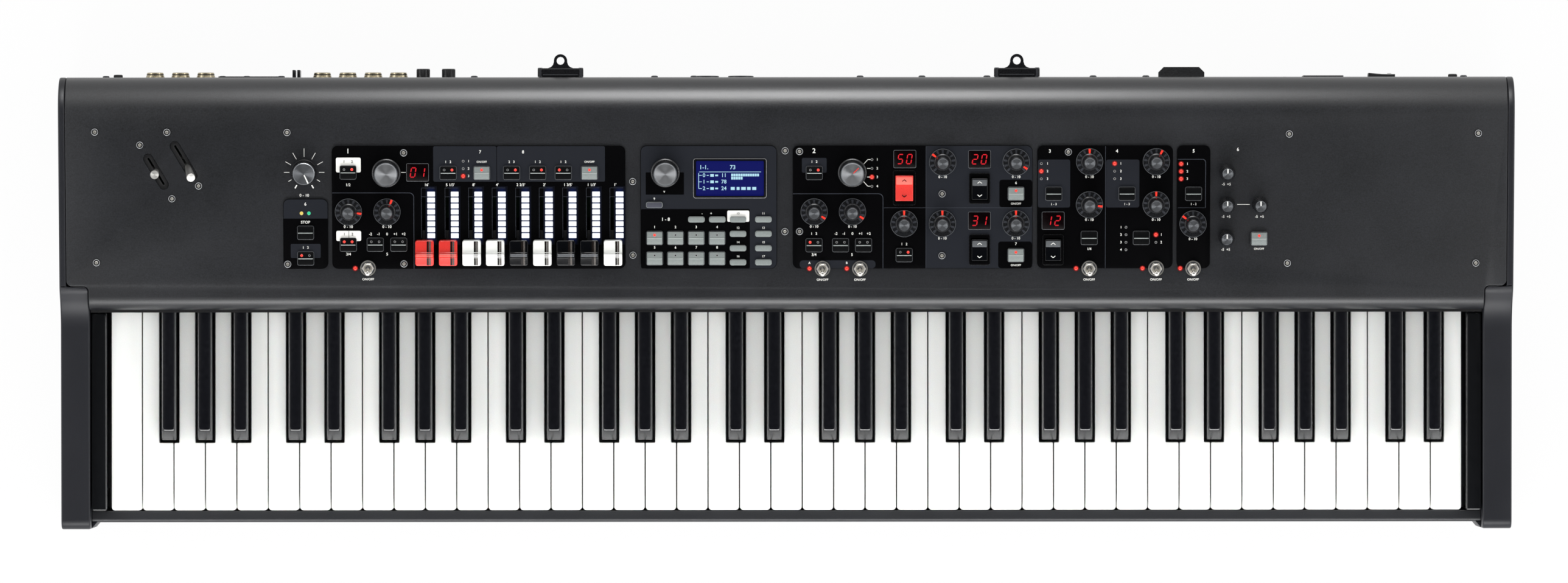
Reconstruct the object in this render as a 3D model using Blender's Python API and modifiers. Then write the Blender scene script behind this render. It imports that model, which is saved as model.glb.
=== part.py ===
"""A 73-key drawbar organ: a stage keyboard with a sloping control deck behind its keys.

Lengths are in metres and +Z is up. The origin lies on the floor under the middle of the
whole instrument, +X runs to the right along the keys and +Y runs to the rear.
Controls on the deck are placed by (x, v): v runs up the sheet from its front lip, and w is
the height above the sheet.
"""

from math import cos, pi, radians, sin, tan

import bmesh
import bpy
from mathutils import Matrix, Vector

mm = 0.001

# Gaps and sheet
GAP = 0.3 * mm  # left between pieces that touch
RUN = 0.5 * mm  # left under what slides or turns over a surface
SHEET = 1.6 * mm  # steel of the top panel
WALL = 2.0 * mm  # bottom pan and jack panel
NOTCH_FILLET = 4.0 * mm  # corners of the panel's notches, seen from above
NOTCH_STEPS = 6

# Keys
KEY_PITCH = 23.5 * mm
WHITE_SPLIT = 0.9 * mm  # between two white keys
WHITE_HEAD = 50.5 * mm  # front part, ahead of the black keys
WHITE_DEPTH = 18.0 * mm  # top to underside
WHITE_TOP = 84.0 * mm
WHITE_CORNER = 2.5 * mm
BLACK_SLOT = 15.0 * mm  # opening in the white keys for a black one
BLACK_BASE = 11.2 * mm
BLACK_CROWN = 9.3 * mm
BLACK_RISE = 12.0 * mm  # above the white keys
BLACK_ROOT = 14.0 * mm  # below the white keys' tops
BLACK_NOSE = 8.2 * mm  # slope of the front face, seen from above
BLACK_FRONT_GAP = 1.8 * mm
KEY_SHOWN = 149.9 * mm  # white key that shows ahead of the top panel
WHITE_PIVOT_IN = 39.5 * mm  # hinge line behind the top panel's lip
BLACK_PIVOT_IN = 51.5 * mm
RAIL_HALF = 5.0 * mm  # comb's rail, ahead of and behind its hinge line
BLACK_PLATE = 4.0 * mm
BLACK_PLATE_LIFT = 3.6 * mm  # over the white keys' tops
BLACK_LEG = 11.6 * mm  # plate's underside down to its hinge line
PLATE_LAP = 6.0 * mm  # how far the black keys reach under their plate
COMB_SIDE = 0.5 * mm

# Depths, front to rear
SLIP_SETBACK = 4.8 * mm
SLIP_DEPTH = 8.7 * mm
SLIP_TO_KEY = 0.6 * mm
PANEL_DEPTH = 173.5 * mm  # lip to rear face
BRACKET_REACH = 17.5 * mm  # stand brackets behind the rear face

# Heights and the deck
FOOT_HEIGHT = 8.0 * mm
LIP_BOTTOM = 98.5 * mm
LIP_CORNER_Z = 110.5 * mm  # where the deck's plane would meet the lip's
DECK_TILT = radians(7.5)
FRONT_ROLL = 12.0 * mm
REAR_ROLL = 24.0 * mm
REAR_FLAT = 2.0 * mm  # upright edge of the sheet under the rear roll

# Ends
KEY_TO_CHEEK = 3.0 * mm
CHEEK_WIDTH = 11.5 * mm
CHEEK_TOP = 88.0 * mm
CHEEK_BEVEL = 1.2 * mm
CHEEK_TO_LIP = 2.1 * mm
CHEEK_TO_ARM = 0.75 * mm
ARM_WIDTH = 21.5 * mm
ARM_FRONT_Z = 92.0 * mm
ARM_REAR_Z = 97.0 * mm
ARM_FRONT_CORNER = 8.0 * mm
ARM_BEND = 10.0 * mm
BLOCK_FOOT_CORNER = 3.0 * mm
ARM_RISE_IN = 2.5 * mm  # ahead of the lip, where the arm starts to climb to the deck
NOTCH_IN = 17.4 * mm  # behind the lip, where the panel widens over the end blocks
SIDE_WALL = 5.0 * mm
BASE_FLANGE = 8.0 * mm

# Front strip, bed and pan
SLIP_TOP = 70.0 * mm
SLIP_WALL = 2.8 * mm
SLIP_CORNER = 3.0 * mm
PAN_FLANGE = 14.0 * mm
BED_SHEET = 3.0 * mm
GUIDE_TOP = 50.0 * mm
GUIDE_IN = 14.0 * mm  # key front to the guide wall
FOOT_RADIUS = 14.0 * mm
FOOT_TREAD = 12.0 * mm
FOOT_INSET = 62.0 * mm
FRONT_FOOT_IN = 27.5 * mm
REAR_FOOT_IN = 25.0 * mm

# Control panels on the deck: thickness, and (left, right) on x
FASCIA = 1.0 * mm
FASCIA_CORNER = 4.5 * mm
PANEL_FRONT_V = 31.0 * mm
PANEL_REAR_V = 123.3 * mm
ORGAN_X = (-338.4 * mm, -119.9 * mm)
ROTARY_X = (-374.8 * mm, -341.4 * mm)
ROTARY_REAR_V = 83.5 * mm
DISPLAY_X = (-108.6 * mm, -7.2 * mm)
VOICE_X = (4.7 * mm, 183.2 * mm)
EFFECT_X = (186.7 * mm, 364.0 * mm)
FACE = GAP + FASCIA  # top of a control panel above the sheet

# Buttons and digit windows
BUTTON = (12.7 * mm, 10.4 * mm)
BUTTON_RISE = 2.6 * mm
BUTTON_EDGE_RISE = 2.0 * mm
BUTTON_RIDGE = 0.8 * mm
PILL = (12.6 * mm, 4.6 * mm)
PILL_RISE = 1.8 * mm
PILL_CORNER = 2.2 * mm
DIGITS = (16.7 * mm, 13.6 * mm)
DIGITS_RISE = 0.4 * mm

# Small knobs with a ring of lamps, and the plain small knobs
RING_RADIUS = 10.1 * mm
RING_RISE = 1.2 * mm
SMALL_KNOB_FOOT = 6.6 * mm
SMALL_KNOB_HEAD = 4.2 * mm
SMALL_KNOB_RISE = 12.5 * mm
TONE_KNOB_FOOT = 5.9 * mm
TONE_KNOB_HEAD = 4.6 * mm

# Large knobs
KNOB_SKIRT = 10.7 * mm
KNOB_SKIRT_RISE = 1.8 * mm
KNOB_CAP = 8.4 * mm
KNOB_RISE = 10.5 * mm
SHAFT = 3.0 * mm
MASTER_PLACE = (-359.0 * mm, 103.3 * mm)
MASTER_SKIRT = 9.8 * mm
MASTER_CAP = 8.9 * mm
ENCODER_PLACES = {
    "organ_model_knob": (-297.9 * mm, 103.0 * mm),
    "data_knob": (-90.2 * mm, 103.0 * mm),
    "voice_knob": (49.0 * mm, 103.0 * mm),
}

# Drawbars
DRAWBARS = 9
DRAWBAR_FIRST = (-269.5 * mm, 43.4 * mm)
DRAWBAR_PITCH = 17.54 * mm
DRAWBAR_TRAVEL = 37.0 * mm
DRAWBAR_CAP = (13.7 * mm, 19.0 * mm)
DRAWBAR_RISE = 9.0 * mm
DRAWBAR_RIDGE = (-1.6 * mm, 0.2 * mm)  # flat top of its cap, along v
DRAWBAR_REAR_DROP = 3.0 * mm
DRAWBAR_STEP = 1.4 * mm  # drop just ahead of the flat top
DRAWBAR_FRONT_DROP = 3.6 * mm
DRAWBAR_EDGE = 1.2 * mm
DRAWBAR_STEM = (3.0 * mm, 8.0 * mm)
DRAWBAR_SHOE = (8.0 * mm, 20.0 * mm, 3.0 * mm)
LAMP_BAR = (2.1 * mm, 7.6 * mm)  # x from the drawbar's middle
LAMP_BAR_V = (53.7 * mm, 89.1 * mm)
LAMP_BAR_RISE = 0.25 * mm

# Levers
PITCH_PLACE = (-469.3 * mm, 103.9 * mm)
MODULATION_PLACE = (-448.6 * mm, 112.0 * mm)
PITCH_SLOT = 22.7 * mm  # between the centres of its round ends
MODULATION_SLOT = 25.8 * mm
SLOT_WIDTH = 6.8 * mm
SLOT_TURN = radians(30.5)
LEVER_HEIGHT = 20.0 * mm
LEVER_PIVOT_DEPTH = 20.0 * mm
LEVER_TOP_RADIUS = 3.3 * mm
LEVER_ROOT_RADIUS = 1.6 * mm
LEVER_HUB = (4.0 * mm, 4.0 * mm)  # radius and half length
MODULATION_REST = radians(18)

# Toggle switches
TOGGLE_PLACES = (
    (-311.8 * mm, 31.6 * mm),
    (26.8 * mm, 31.0 * mm),
    (54.7 * mm, 31.0 * mm),
    (225.6 * mm, 31.0 * mm),
    (275.4 * mm, 31.0 * mm),
    (303.0 * mm, 31.0 * mm),
)
TOGGLE_NAMES = (
    "organ_toggle",
    "voice_a_toggle",
    "voice_b_toggle",
    "effect_toggle",
    "speaker_toggle",
    "reverb_toggle",
)
WASHER_RADIUS = 5.9 * mm
WASHER_RISE = 0.7 * mm
NUT_RADIUS = 4.9 * mm
NUT_RISE = 2.8 * mm
BUSH_RADIUS = 3.6 * mm
BUSH_RISE = 4.2 * mm
TOGGLE_BALL = 2.4 * mm
TOGGLE_BAT = 12.5 * mm
TOGGLE_ROOT = 1.1 * mm
TOGGLE_TIP = 1.8 * mm
TOGGLE_REST = radians(12)

# Rocker switches: place, then width and length of the rocker
ROCKERS = {
    "voice_select_rocker": ((87.7 * mm, 91.6 * mm), (13.2 * mm, 19.0 * mm)),
    "effect_one_rocker": ((143.8 * mm, 91.1 * mm), (12.0 * mm, 16.0 * mm)),
    "effect_two_rocker": ((143.8 * mm, 45.1 * mm), (12.0 * mm, 16.0 * mm)),
    "effect_three_rocker": ((198.6 * mm, 45.1 * mm), (12.0 * mm, 16.0 * mm)),
}
ROCKER_END_GAP = 0.9 * mm
ROCKER_TOP = 4.0 * mm
ROCKER_DISH = 0.9 * mm
ROCKER_BELOW = 2.0 * mm
ROCKER_RIM = 1.4 * mm
ROCKER_RIM_RISE = 1.6 * mm

# Display
DISPLAY_LENS_X = (-68.8 * mm, -15.4 * mm)
DISPLAY_LENS_V = (83.9 * mm, 113.7 * mm)

# Control board under the deck
BOARD_DEPTH = 26.0 * mm
BOARD = 1.6 * mm
BOARD_X = (-492.0 * mm, 372.0 * mm)
BOARD_V = (66.0 * mm, 138.0 * mm)
POST_RADIUS = 3.0 * mm
POST_X = (-400.0 * mm, -348.0 * mm, -114.0 * mm, -1.5 * mm, 185.0 * mm, 366.0 * mm)
POST_V = (71.0 * mm, 133.0 * mm)
CRADLE = 2.0 * mm

# Rear sockets
JACK_Z = 70.0 * mm
JACK_X = tuple(x * mm for x in (-472.8, -453.8, -434.8, -347.6, -328.5, -309.5, -290.5))
JACK_RADIUS = 6.0 * mm
JACK_BORE = 3.25 * mm
JACK_PROUD = 4.1 * mm
JACK_DEPTH = 12.0 * mm
GAIN_X = tuple(x * mm for x in (-272.0, -253.0))
GAIN_RADIUS = 4.9 * mm
GAIN_PROUD = 7.0 * mm
ROUND_SOCKET_X = tuple(x * mm for x in (-60.0, -34.0))
ROUND_SOCKET_RADIUS = 9.5 * mm
ROUND_SOCKET_BORE = 7.0 * mm
ROUND_SOCKET_DEPTH = 8.0 * mm
HOST_SOCKET = (-8.0 * mm, 13.2 * mm, 5.6 * mm)  # x, width, height
DEVICE_SOCKET = (14.0 * mm, 8.6 * mm, 7.8 * mm)
SQUARE_SOCKET_DEPTH = 10.0 * mm
SOCKET_WALL = 1.5 * mm
SOCKET_FLOOR = 2.0 * mm  # behind the bottom of a socket's hole
SOCKET_PROUD = 1.5 * mm
PORT_PROUD = 0.6 * mm
BORE_REACH = 10.0 * mm  # how far a cutter stands out of the rear face
INLET = (402.0 * mm, 27.0 * mm, 20.0 * mm)
INLET_DEPTH = 16.0 * mm
POWER_SWITCH = (446.0 * mm, 20.0 * mm, 13.0 * mm)
POWER_SWITCH_PROUD = 2.5 * mm
CORD_HOOK_X = (278.0 * mm, 312.4 * mm)
CORD_HOOK_Z = (92.0 * mm, 95.0 * mm)
CORD_HOOK_REACH = 7.6 * mm
CORD_HOOK_CHAMFER = 4.0 * mm

# Stand brackets
BRACKET_X = (-168.7 * mm, 172.3 * mm)
BRACKET_WIDTH = 34.0 * mm
BRACKET_BASE = 7.0 * mm
BRACKET_BEVEL = 0.8 * mm
BRACKET_Z = (84.0 * mm, 96.0 * mm)
EYE_RADIUS = 5.0 * mm
EYE_HOLE = 2.95 * mm
EYE_SHEET = 3.0 * mm
EYE_BELOW = 2.0 * mm  # under the top of the bracket's base
EYE_SIDES = 24

# Sides of round shapes
SMALL_SIDES = 12
KNOB_SIDES = 20
BALL_BANDS = 6

# Where the black keys lie from the joint of two white ones, counted from C
BLACK_OFFSETS = {0: -2.6 * mm, 1: 2.6 * mm, 3: -3.4 * mm, 4: 0.0, 5: 3.4 * mm}
WHITES_IN_OCTAVE = 7
FIRST_NOTE = 2  # E, counted from C among the white keys
WHITE_KEYS = 43

# Places worked out from the values above
KEYS_HALF = WHITE_KEYS * KEY_PITCH / 2
CHEEK_INNER = KEYS_HALF + KEY_TO_CHEEK
CHEEK_OUTER = CHEEK_INNER + CHEEK_WIDTH
ARM_INNER = CHEEK_OUTER + CHEEK_TO_ARM
HALF_WIDTH = ARM_INNER + ARM_WIDTH
PANEL_HALF = HALF_WIDTH - SIDE_WALL - GAP
DEPTHS = (SLIP_SETBACK, SLIP_DEPTH, SLIP_TO_KEY, KEY_SHOWN, PANEL_DEPTH, BRACKET_REACH)
FRONT_Y = -sum(DEPTHS) / 2
SLIP_FRONT = FRONT_Y + SLIP_SETBACK
SLIP_REAR = SLIP_FRONT + SLIP_DEPTH
KEY_FRONT = SLIP_REAR + SLIP_TO_KEY
LIP_Y = KEY_FRONT + KEY_SHOWN
REAR_Y = LIP_Y + PANEL_DEPTH
NOTCH_Y = LIP_Y + NOTCH_IN
WHITE_PIVOT = (LIP_Y + WHITE_PIVOT_IN, WHITE_TOP - WHITE_DEPTH)
BLACK_PLATE_Z = WHITE_TOP + BLACK_PLATE_LIFT
BLACK_PIVOT = (LIP_Y + BLACK_PIVOT_IN, BLACK_PLATE_Z - BLACK_LEG)
PAN_TOP = FOOT_HEIGHT + WALL
# The first white key of each comb: a part octave, then one comb from each C
COMB_STARTS = (0, *range(WHITES_IN_OCTAVE - FIRST_NOTE, WHITE_KEYS, WHITES_IN_OCTAVE))


def deck_z(y):
    """Height of the deck's plane at a place front to rear."""
    return LIP_CORNER_Z + (y - LIP_Y) * tan(DECK_TILT)


REAR_ROLL_DROP = REAR_ROLL / tan((pi / 2 - DECK_TILT) / 2)  # from the deck to the roll's lower end
REAR_LIP_Z = deck_z(REAR_Y) - REAR_ROLL_DROP - REAR_FLAT


for leftover in list(bpy.data.objects):
    bpy.data.objects.remove(leftover)

organ = bpy.data.collections.new("drawbar_organ")
cutters = bpy.data.collections.new("cutters")
bpy.context.scene.collection.children.link(organ)
bpy.context.scene.collection.children.link(cutters)
cutters.hide_render = True


# Materials

def material(name, colour, roughness, metallic=0.0):
    made = bpy.data.materials.new(name)
    made.use_nodes = True
    shader = made.node_tree.nodes["Principled BSDF"]
    shader.inputs["Base Color"].default_value = (*colour, 1)
    shader.inputs["Roughness"].default_value = roughness
    shader.inputs["Metallic"].default_value = metallic
    return made


PAINT = material("charcoal paint", (0.028, 0.030, 0.036), 0.6)
MOULDED = material("black moulded plastic", (0.014, 0.014, 0.016), 0.45)
GLOSS = material("gloss black plastic", (0.008, 0.008, 0.009), 0.12)
IVORY = material("white key plastic", (0.82, 0.83, 0.80), 0.25)
RED = material("red plastic", (0.85, 0.05, 0.03), 0.35)
METAL = material("spun metal", (0.45, 0.46, 0.48), 0.3, 1.0)
STEEL = material("plated steel", (0.55, 0.55, 0.54), 0.35, 1.0)
RUBBER = material("black rubber", (0.02, 0.02, 0.02), 0.8)
BOARD_GREEN = material("circuit board", (0.02, 0.12, 0.05), 0.5)
BLUE_GLASS = material("blue display glass", (0.0, 0.01, 0.25), 0.08)


# The colours of the drawbars, from the left
DRAWBAR_FINISHES = (RED, RED, IVORY, IVORY, GLOSS, IVORY, GLOSS, GLOSS, IVORY)


# Outlines

def rounded(corners, closed=True, steps=6):
    """A line through (x, y, radius) corners, each turned as an arc of its radius."""
    line = []
    count = len(corners)
    for i, (x, y, radius) in enumerate(corners):
        at_end = not closed and i in (0, count - 1)
        here = Vector((x, y))
        if radius == 0 or at_end:
            line.append((x, y))
            continue
        back = (Vector(corners[i - 1][:2]) - here).normalized()
        ahead = (Vector(corners[(i + 1) % count][:2]) - here).normalized()
        half = back.angle(ahead) / 2
        centre = here + (back + ahead).normalized() * radius / sin(half)
        first = here + back * radius / tan(half) - centre
        last = here + ahead * radius / tan(half) - centre
        sweep = first.angle_signed(last)
        for step in range(steps + 1):
            spoke = first.copy()
            spoke.rotate(Matrix.Rotation(-sweep * step / steps, 2))
            line.append(tuple(centre + spoke))
    return line


def rectangle(x, y, radius=0.0, steps=4):
    corners = [(x[0], y[0]), (x[1], y[0]), (x[1], y[1]), (x[0], y[1])]
    return rounded([(a, b, radius) for a, b in corners], steps=steps)


def circle(radius, sides, turn=0.0):
    angles = [turn + 2 * pi * i / sides for i in range(sides)]
    return [(radius * cos(angle), radius * sin(angle)) for angle in angles]


# Meshes of single shapes

def finish(shape, name="shape"):
    """The bmesh's own mesh, with its faces turned outwards."""
    bmesh.ops.recalc_face_normals(shape, faces=shape.faces)
    mesh = bpy.data.meshes.new(name)
    shape.to_mesh(mesh)
    shape.free()
    return mesh


def box(x, y, z, bevel=0.0):
    shape = bmesh.new()
    bmesh.ops.create_cube(shape, size=1)
    size = Vector((x[1] - x[0], y[1] - y[0], z[1] - z[0]))
    middle = Vector((x[0] + x[1], y[0] + y[1], z[0] + z[1])) / 2
    bmesh.ops.transform(
        shape, matrix=Matrix.Translation(middle) @ Matrix.Diagonal((*size, 1)), verts=shape.verts
    )
    if bevel:
        bmesh.ops.bevel(
            shape, geom=shape.edges[:], offset=bevel, segments=1, affect="EDGES", profile=0.5
        )
    return finish(shape)


def round_post(radius, low, high, sides=SMALL_SIDES, top_radius=None, at=(0, 0)):
    shape = bmesh.new()
    bmesh.ops.create_cone(
        shape,
        cap_ends=True,
        segments=sides,
        radius1=radius,
        radius2=radius if top_radius is None else top_radius,
        depth=high - low,
    )
    bmesh.ops.translate(shape, verts=shape.verts, vec=(*at, (low + high) / 2))
    return finish(shape)


def ball(radius, height):
    shape = bmesh.new()
    bmesh.ops.create_uvsphere(shape, u_segments=SMALL_SIDES, v_segments=BALL_BANDS, radius=radius)
    bmesh.ops.translate(shape, verts=shape.verts, vec=(0, 0, height))
    return finish(shape)


def slab(outline, low, high):
    """A flat outline as a plate that fills low to high."""
    curve = bpy.data.curves.new("outline", "CURVE")
    curve.dimensions = "2D"
    curve.fill_mode = "BOTH"
    curve.extrude = (high - low) / 2
    spline = curve.splines.new("POLY")
    spline.points.add(len(outline) - 1)
    spline.use_cyclic_u = True
    for point, (x, y) in zip(spline.points, outline):
        point.co = (x, y, 0, 1)
    guide = bpy.data.objects.new("outline", curve)
    cutters.objects.link(guide)
    graph = bpy.context.evaluated_depsgraph_get()
    drawn = bpy.data.meshes.new_from_object(guide.evaluated_get(graph))
    bpy.data.objects.remove(guide)
    shape = bmesh.new()
    shape.from_mesh(drawn)
    bmesh.ops.remove_doubles(shape, verts=shape.verts, dist=1e-6)
    bmesh.ops.translate(shape, verts=shape.verts, vec=(0, 0, (low + high) / 2))
    return finish(shape)


SIDEWAYS = Matrix(((0, 0, 1, 0), (1, 0, 0, 0), (0, 1, 0, 0), (0, 0, 0, 1)))


def bar(profile, left, right):
    """A (y, z) profile drawn out along x."""
    mesh = slab(profile, left, right)
    mesh.transform(SIDEWAYS)
    return mesh


def moved(mesh, x=0.0, y=0.0, z=0.0):
    mesh.transform(Matrix.Translation((x, y, z)))
    return mesh


def together(meshes):
    """Shapes that don't touch each other, held in one mesh."""
    shape = bmesh.new()
    for mesh in meshes:
        shape.from_mesh(mesh)
    mesh = bpy.data.meshes.new("shapes")
    shape.to_mesh(mesh)
    shape.free()
    return mesh


def mirrored(mesh):
    """The same shape on the other side of the instrument."""
    copy = mesh.copy()
    copy.transform(Matrix.Diagonal((-1, 1, 1, 1)))
    copy.flip_normals()
    return copy


# Objects

def solid(name, mesh, finish_of, parent=None, at=(0, 0, 0), turn=(0, 0, 0)):
    piece = bpy.data.objects.new(name, mesh)
    organ.objects.link(piece)
    mesh.name = name
    mesh.materials.clear()
    mesh.materials.append(finish_of)
    mesh.shade_smooth()
    mesh.set_sharp_from_angle(angle=radians(35))
    piece.parent = parent
    piece.location = at
    piece.rotation_euler = turn
    return piece


def change(piece, operation, mesh, parent=None, at=(0, 0, 0), turn=(0, 0, 0)):
    """Joins the mesh to the piece, or cuts it from the piece, as a live Boolean."""
    tool = bpy.data.objects.new(piece.name + "_" + operation.lower(), mesh)
    cutters.objects.link(tool)
    tool.hide_render = True
    tool.display_type = "WIRE"
    tool.parent = parent
    tool.location = at
    tool.rotation_euler = turn
    modifier = piece.modifiers.new(operation.title(), "BOOLEAN")
    modifier.operation = operation
    modifier.object = tool


def join(piece, mesh, **place):
    change(piece, "UNION", mesh, **place)


def cut(piece, mesh, **place):
    change(piece, "DIFFERENCE", mesh, **place)


def bent_sheet(name, path, half_width, thickness, finish_of):
    """A (y, z) path drawn out to both sides as sheet, with its thickness on the path's left."""
    shape = bmesh.new()
    near = [shape.verts.new((-half_width, y, z)) for y, z in path]
    edges = [shape.edges.new(pair) for pair in zip(near, near[1:])]
    swept = bmesh.ops.extrude_edge_only(shape, edges=edges)["geom"]
    far = [item for item in swept if isinstance(item, bmesh.types.BMVert)]
    bmesh.ops.translate(shape, verts=far, vec=(2 * half_width, 0, 0))
    mesh = bpy.data.meshes.new(name)
    shape.to_mesh(mesh)
    shape.free()
    sheet = solid(name, mesh, finish_of)
    wall = sheet.modifiers.new("Thickness", "SOLIDIFY")
    wall.thickness = thickness
    wall.offset = 1
    wall.use_even_offset = True
    return sheet


deck = bpy.data.objects.new("deck_plane", None)
organ.objects.link(deck)
deck.location = (0, LIP_Y, LIP_CORNER_Z)
deck.rotation_euler = (DECK_TILT, 0, 0)


# Casing

def make_top_panel():
    path = rounded(
        [
            (REAR_Y, REAR_LIP_Z, 0),
            (REAR_Y, deck_z(REAR_Y), REAR_ROLL),
            (LIP_Y, deck_z(LIP_Y), FRONT_ROLL),
            (LIP_Y, LIP_BOTTOM, 0),
        ],
        closed=False,
        steps=8,
    )
    panel = bent_sheet("top_panel", path, PANEL_HALF, SHEET, PAINT)
    strip_half = ARM_INNER - GAP
    notch_y = NOTCH_Y + GAP
    outside = HALF_WIDTH + SIDE_WALL
    notch = rounded(
        [
            (outside, LIP_Y - FRONT_ROLL, 0),
            (outside, notch_y + NOTCH_FILLET, 0),
            (PANEL_HALF, notch_y + NOTCH_FILLET, 0),
            (PANEL_HALF, notch_y, NOTCH_FILLET),
            (strip_half, notch_y, NOTCH_FILLET),
            (strip_half, LIP_Y - FRONT_ROLL, 0),
        ]
    )
    corner = slab(notch, LIP_BOTTOM - FRONT_ROLL, deck_z(REAR_Y))
    cut(panel, corner)
    cut(panel, mirrored(corner))
    cut(panel, together(deck_holes()), parent=deck)
    return panel


def make_end_blocks():
    profile = rounded(
        [
            (FRONT_Y, FOOT_HEIGHT, BLOCK_FOOT_CORNER),
            (FRONT_Y, ARM_FRONT_Z, ARM_FRONT_CORNER),
            (LIP_Y - ARM_RISE_IN, ARM_REAR_Z, ARM_BEND),
            (NOTCH_Y - ARM_RISE_IN, deck_z(NOTCH_Y - ARM_RISE_IN), ARM_BEND / 2),
            (REAR_Y, deck_z(REAR_Y), REAR_ROLL),
            (REAR_Y, FOOT_HEIGHT, BLOCK_FOOT_CORNER),
        ],
        steps=8,
    )
    flange_top = FOOT_HEIGHT + BASE_FLANGE
    flange_rear = REAR_Y - WALL - GAP
    above = deck_z(REAR_Y) + SIDE_WALL
    pocket = [
        (NOTCH_Y, flange_top),
        (flange_rear, flange_top),
        (flange_rear, FOOT_HEIGHT - SIDE_WALL),
        (REAR_Y + SIDE_WALL, FOOT_HEIGHT - SIDE_WALL),
        (REAR_Y + SIDE_WALL, above),
        (NOTCH_Y, above),
    ]
    body = bar(profile, ARM_INNER, HALF_WIDTH)
    hollow = bar(pocket, ARM_INNER - SIDE_WALL, HALF_WIDTH - SIDE_WALL)
    centre_x = ARM_INNER + NOTCH_FILLET
    centre_y = NOTCH_Y - NOTCH_FILLET
    quarter = circle(NOTCH_FILLET, 4 * NOTCH_STEPS, pi / 2)[: NOTCH_STEPS + 1]
    arc = [(centre_x + a, centre_y + b) for a, b in quarter]
    side_x, rear_y = ARM_INNER - SIDE_WALL, NOTCH_Y + SIDE_WALL
    outside = [(side_x, centre_y), (side_x, rear_y), (centre_x, rear_y)]
    corner = slab(arc + outside, flange_top + mm, above)
    for name, flip in (("right_end_block", False), ("left_end_block", True)):
        shapes = [mirrored(mesh) if flip else mesh.copy() for mesh in (body, hollow, corner)]
        block = solid(name, shapes[0], MOULDED)
        cut(block, shapes[1])
        cut(block, shapes[2])


def make_bottom_pan():
    front = SLIP_FRONT + SLIP_WALL + GAP
    rear = REAR_Y - WALL - GAP
    top = FOOT_HEIGHT + PAN_FLANGE
    path = [(front, top), (front, FOOT_HEIGHT), (rear, FOOT_HEIGHT), (rear, top)]
    bent_sheet("bottom_pan", path, ARM_INNER - GAP, WALL, PAINT)


def make_key_slip():
    profile = rounded(
        [
            (SLIP_FRONT, FOOT_HEIGHT, 0),
            (SLIP_FRONT, SLIP_TOP, SLIP_CORNER),
            (SLIP_REAR, SLIP_TOP, 0),
            (SLIP_REAR, SLIP_TOP - SLIP_WALL, 0),
            (SLIP_FRONT + SLIP_WALL, SLIP_TOP - SLIP_WALL, 0),
            (SLIP_FRONT + SLIP_WALL, FOOT_HEIGHT, 0),
        ]
    )
    solid("key_slip", bar(profile, -ARM_INNER + GAP, ARM_INNER - GAP), MOULDED)


def make_cheek_blocks():
    block = box(
        (CHEEK_INNER, CHEEK_OUTER),
        (KEY_FRONT - SLIP_TO_KEY / 2, LIP_Y - CHEEK_TO_LIP),
        (PAN_TOP + GAP + BED_SHEET + GAP, CHEEK_TOP),
        bevel=CHEEK_BEVEL,
    )
    solid("right_cheek_block", block, GLOSS)
    solid("left_cheek_block", mirrored(block), GLOSS)


def make_feet():
    foot_x = HALF_WIDTH - FOOT_INSET
    for side, x in (("left", -foot_x), ("right", foot_x)):
        for end, y in (("front", FRONT_Y + FRONT_FOOT_IN), ("rear", REAR_Y - REAR_FOOT_IN)):
            foot = round_post(
                FOOT_TREAD, 0, FOOT_HEIGHT - GAP, KNOB_SIDES, top_radius=FOOT_RADIUS
            )
            solid(f"{end}_{side}_foot", foot, RUBBER, at=(x, y, 0))


# Keyboard

def has_black(joint):
    """Whether a black key stands at the joint on the left of this white key."""
    return 0 < joint < WHITE_KEYS and (joint - 1 + FIRST_NOTE) % WHITES_IN_OCTAVE in BLACK_OFFSETS


def black_x(joint):
    offset = BLACK_OFFSETS[(joint - 1 + FIRST_NOTE) % WHITES_IN_OCTAVE]
    return joint * KEY_PITCH - KEYS_HALF + offset


def comb_range(section):
    ends = COMB_STARTS[1:] + (WHITE_KEYS,)
    return COMB_STARTS[section], ends[section]


def white_outline(first, last):
    """The keys of one comb and the rail that joins them, seen from above."""
    head = KEY_FRONT + WHITE_HEAD
    rail = WHITE_PIVOT[0] - RAIL_HALF
    line = []
    for key in range(first, last):
        left = key * KEY_PITCH - KEYS_HALF + WHITE_SPLIT / 2
        right = left + KEY_PITCH - WHITE_SPLIT
        tail_left = black_x(key) + BLACK_SLOT / 2 if has_black(key) else left
        tail_right = black_x(key + 1) - BLACK_SLOT / 2 if has_black(key + 1) else right
        line += [(tail_left, rail, 0)]
        if tail_left > left:
            line += [(tail_left, head, 0), (left, head, 0)]
        line += [(left, KEY_FRONT, WHITE_CORNER), (right, KEY_FRONT, WHITE_CORNER)]
        if tail_right < right:
            line += [(right, head, 0), (tail_right, head, 0)]
        line += [(tail_right, rail, 0)]
    rear = WHITE_PIVOT[0] + RAIL_HALF
    line += [(line[-1][0], rear, 0), (line[0][0], rear, 0)]
    return rounded(line, steps=3)


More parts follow.
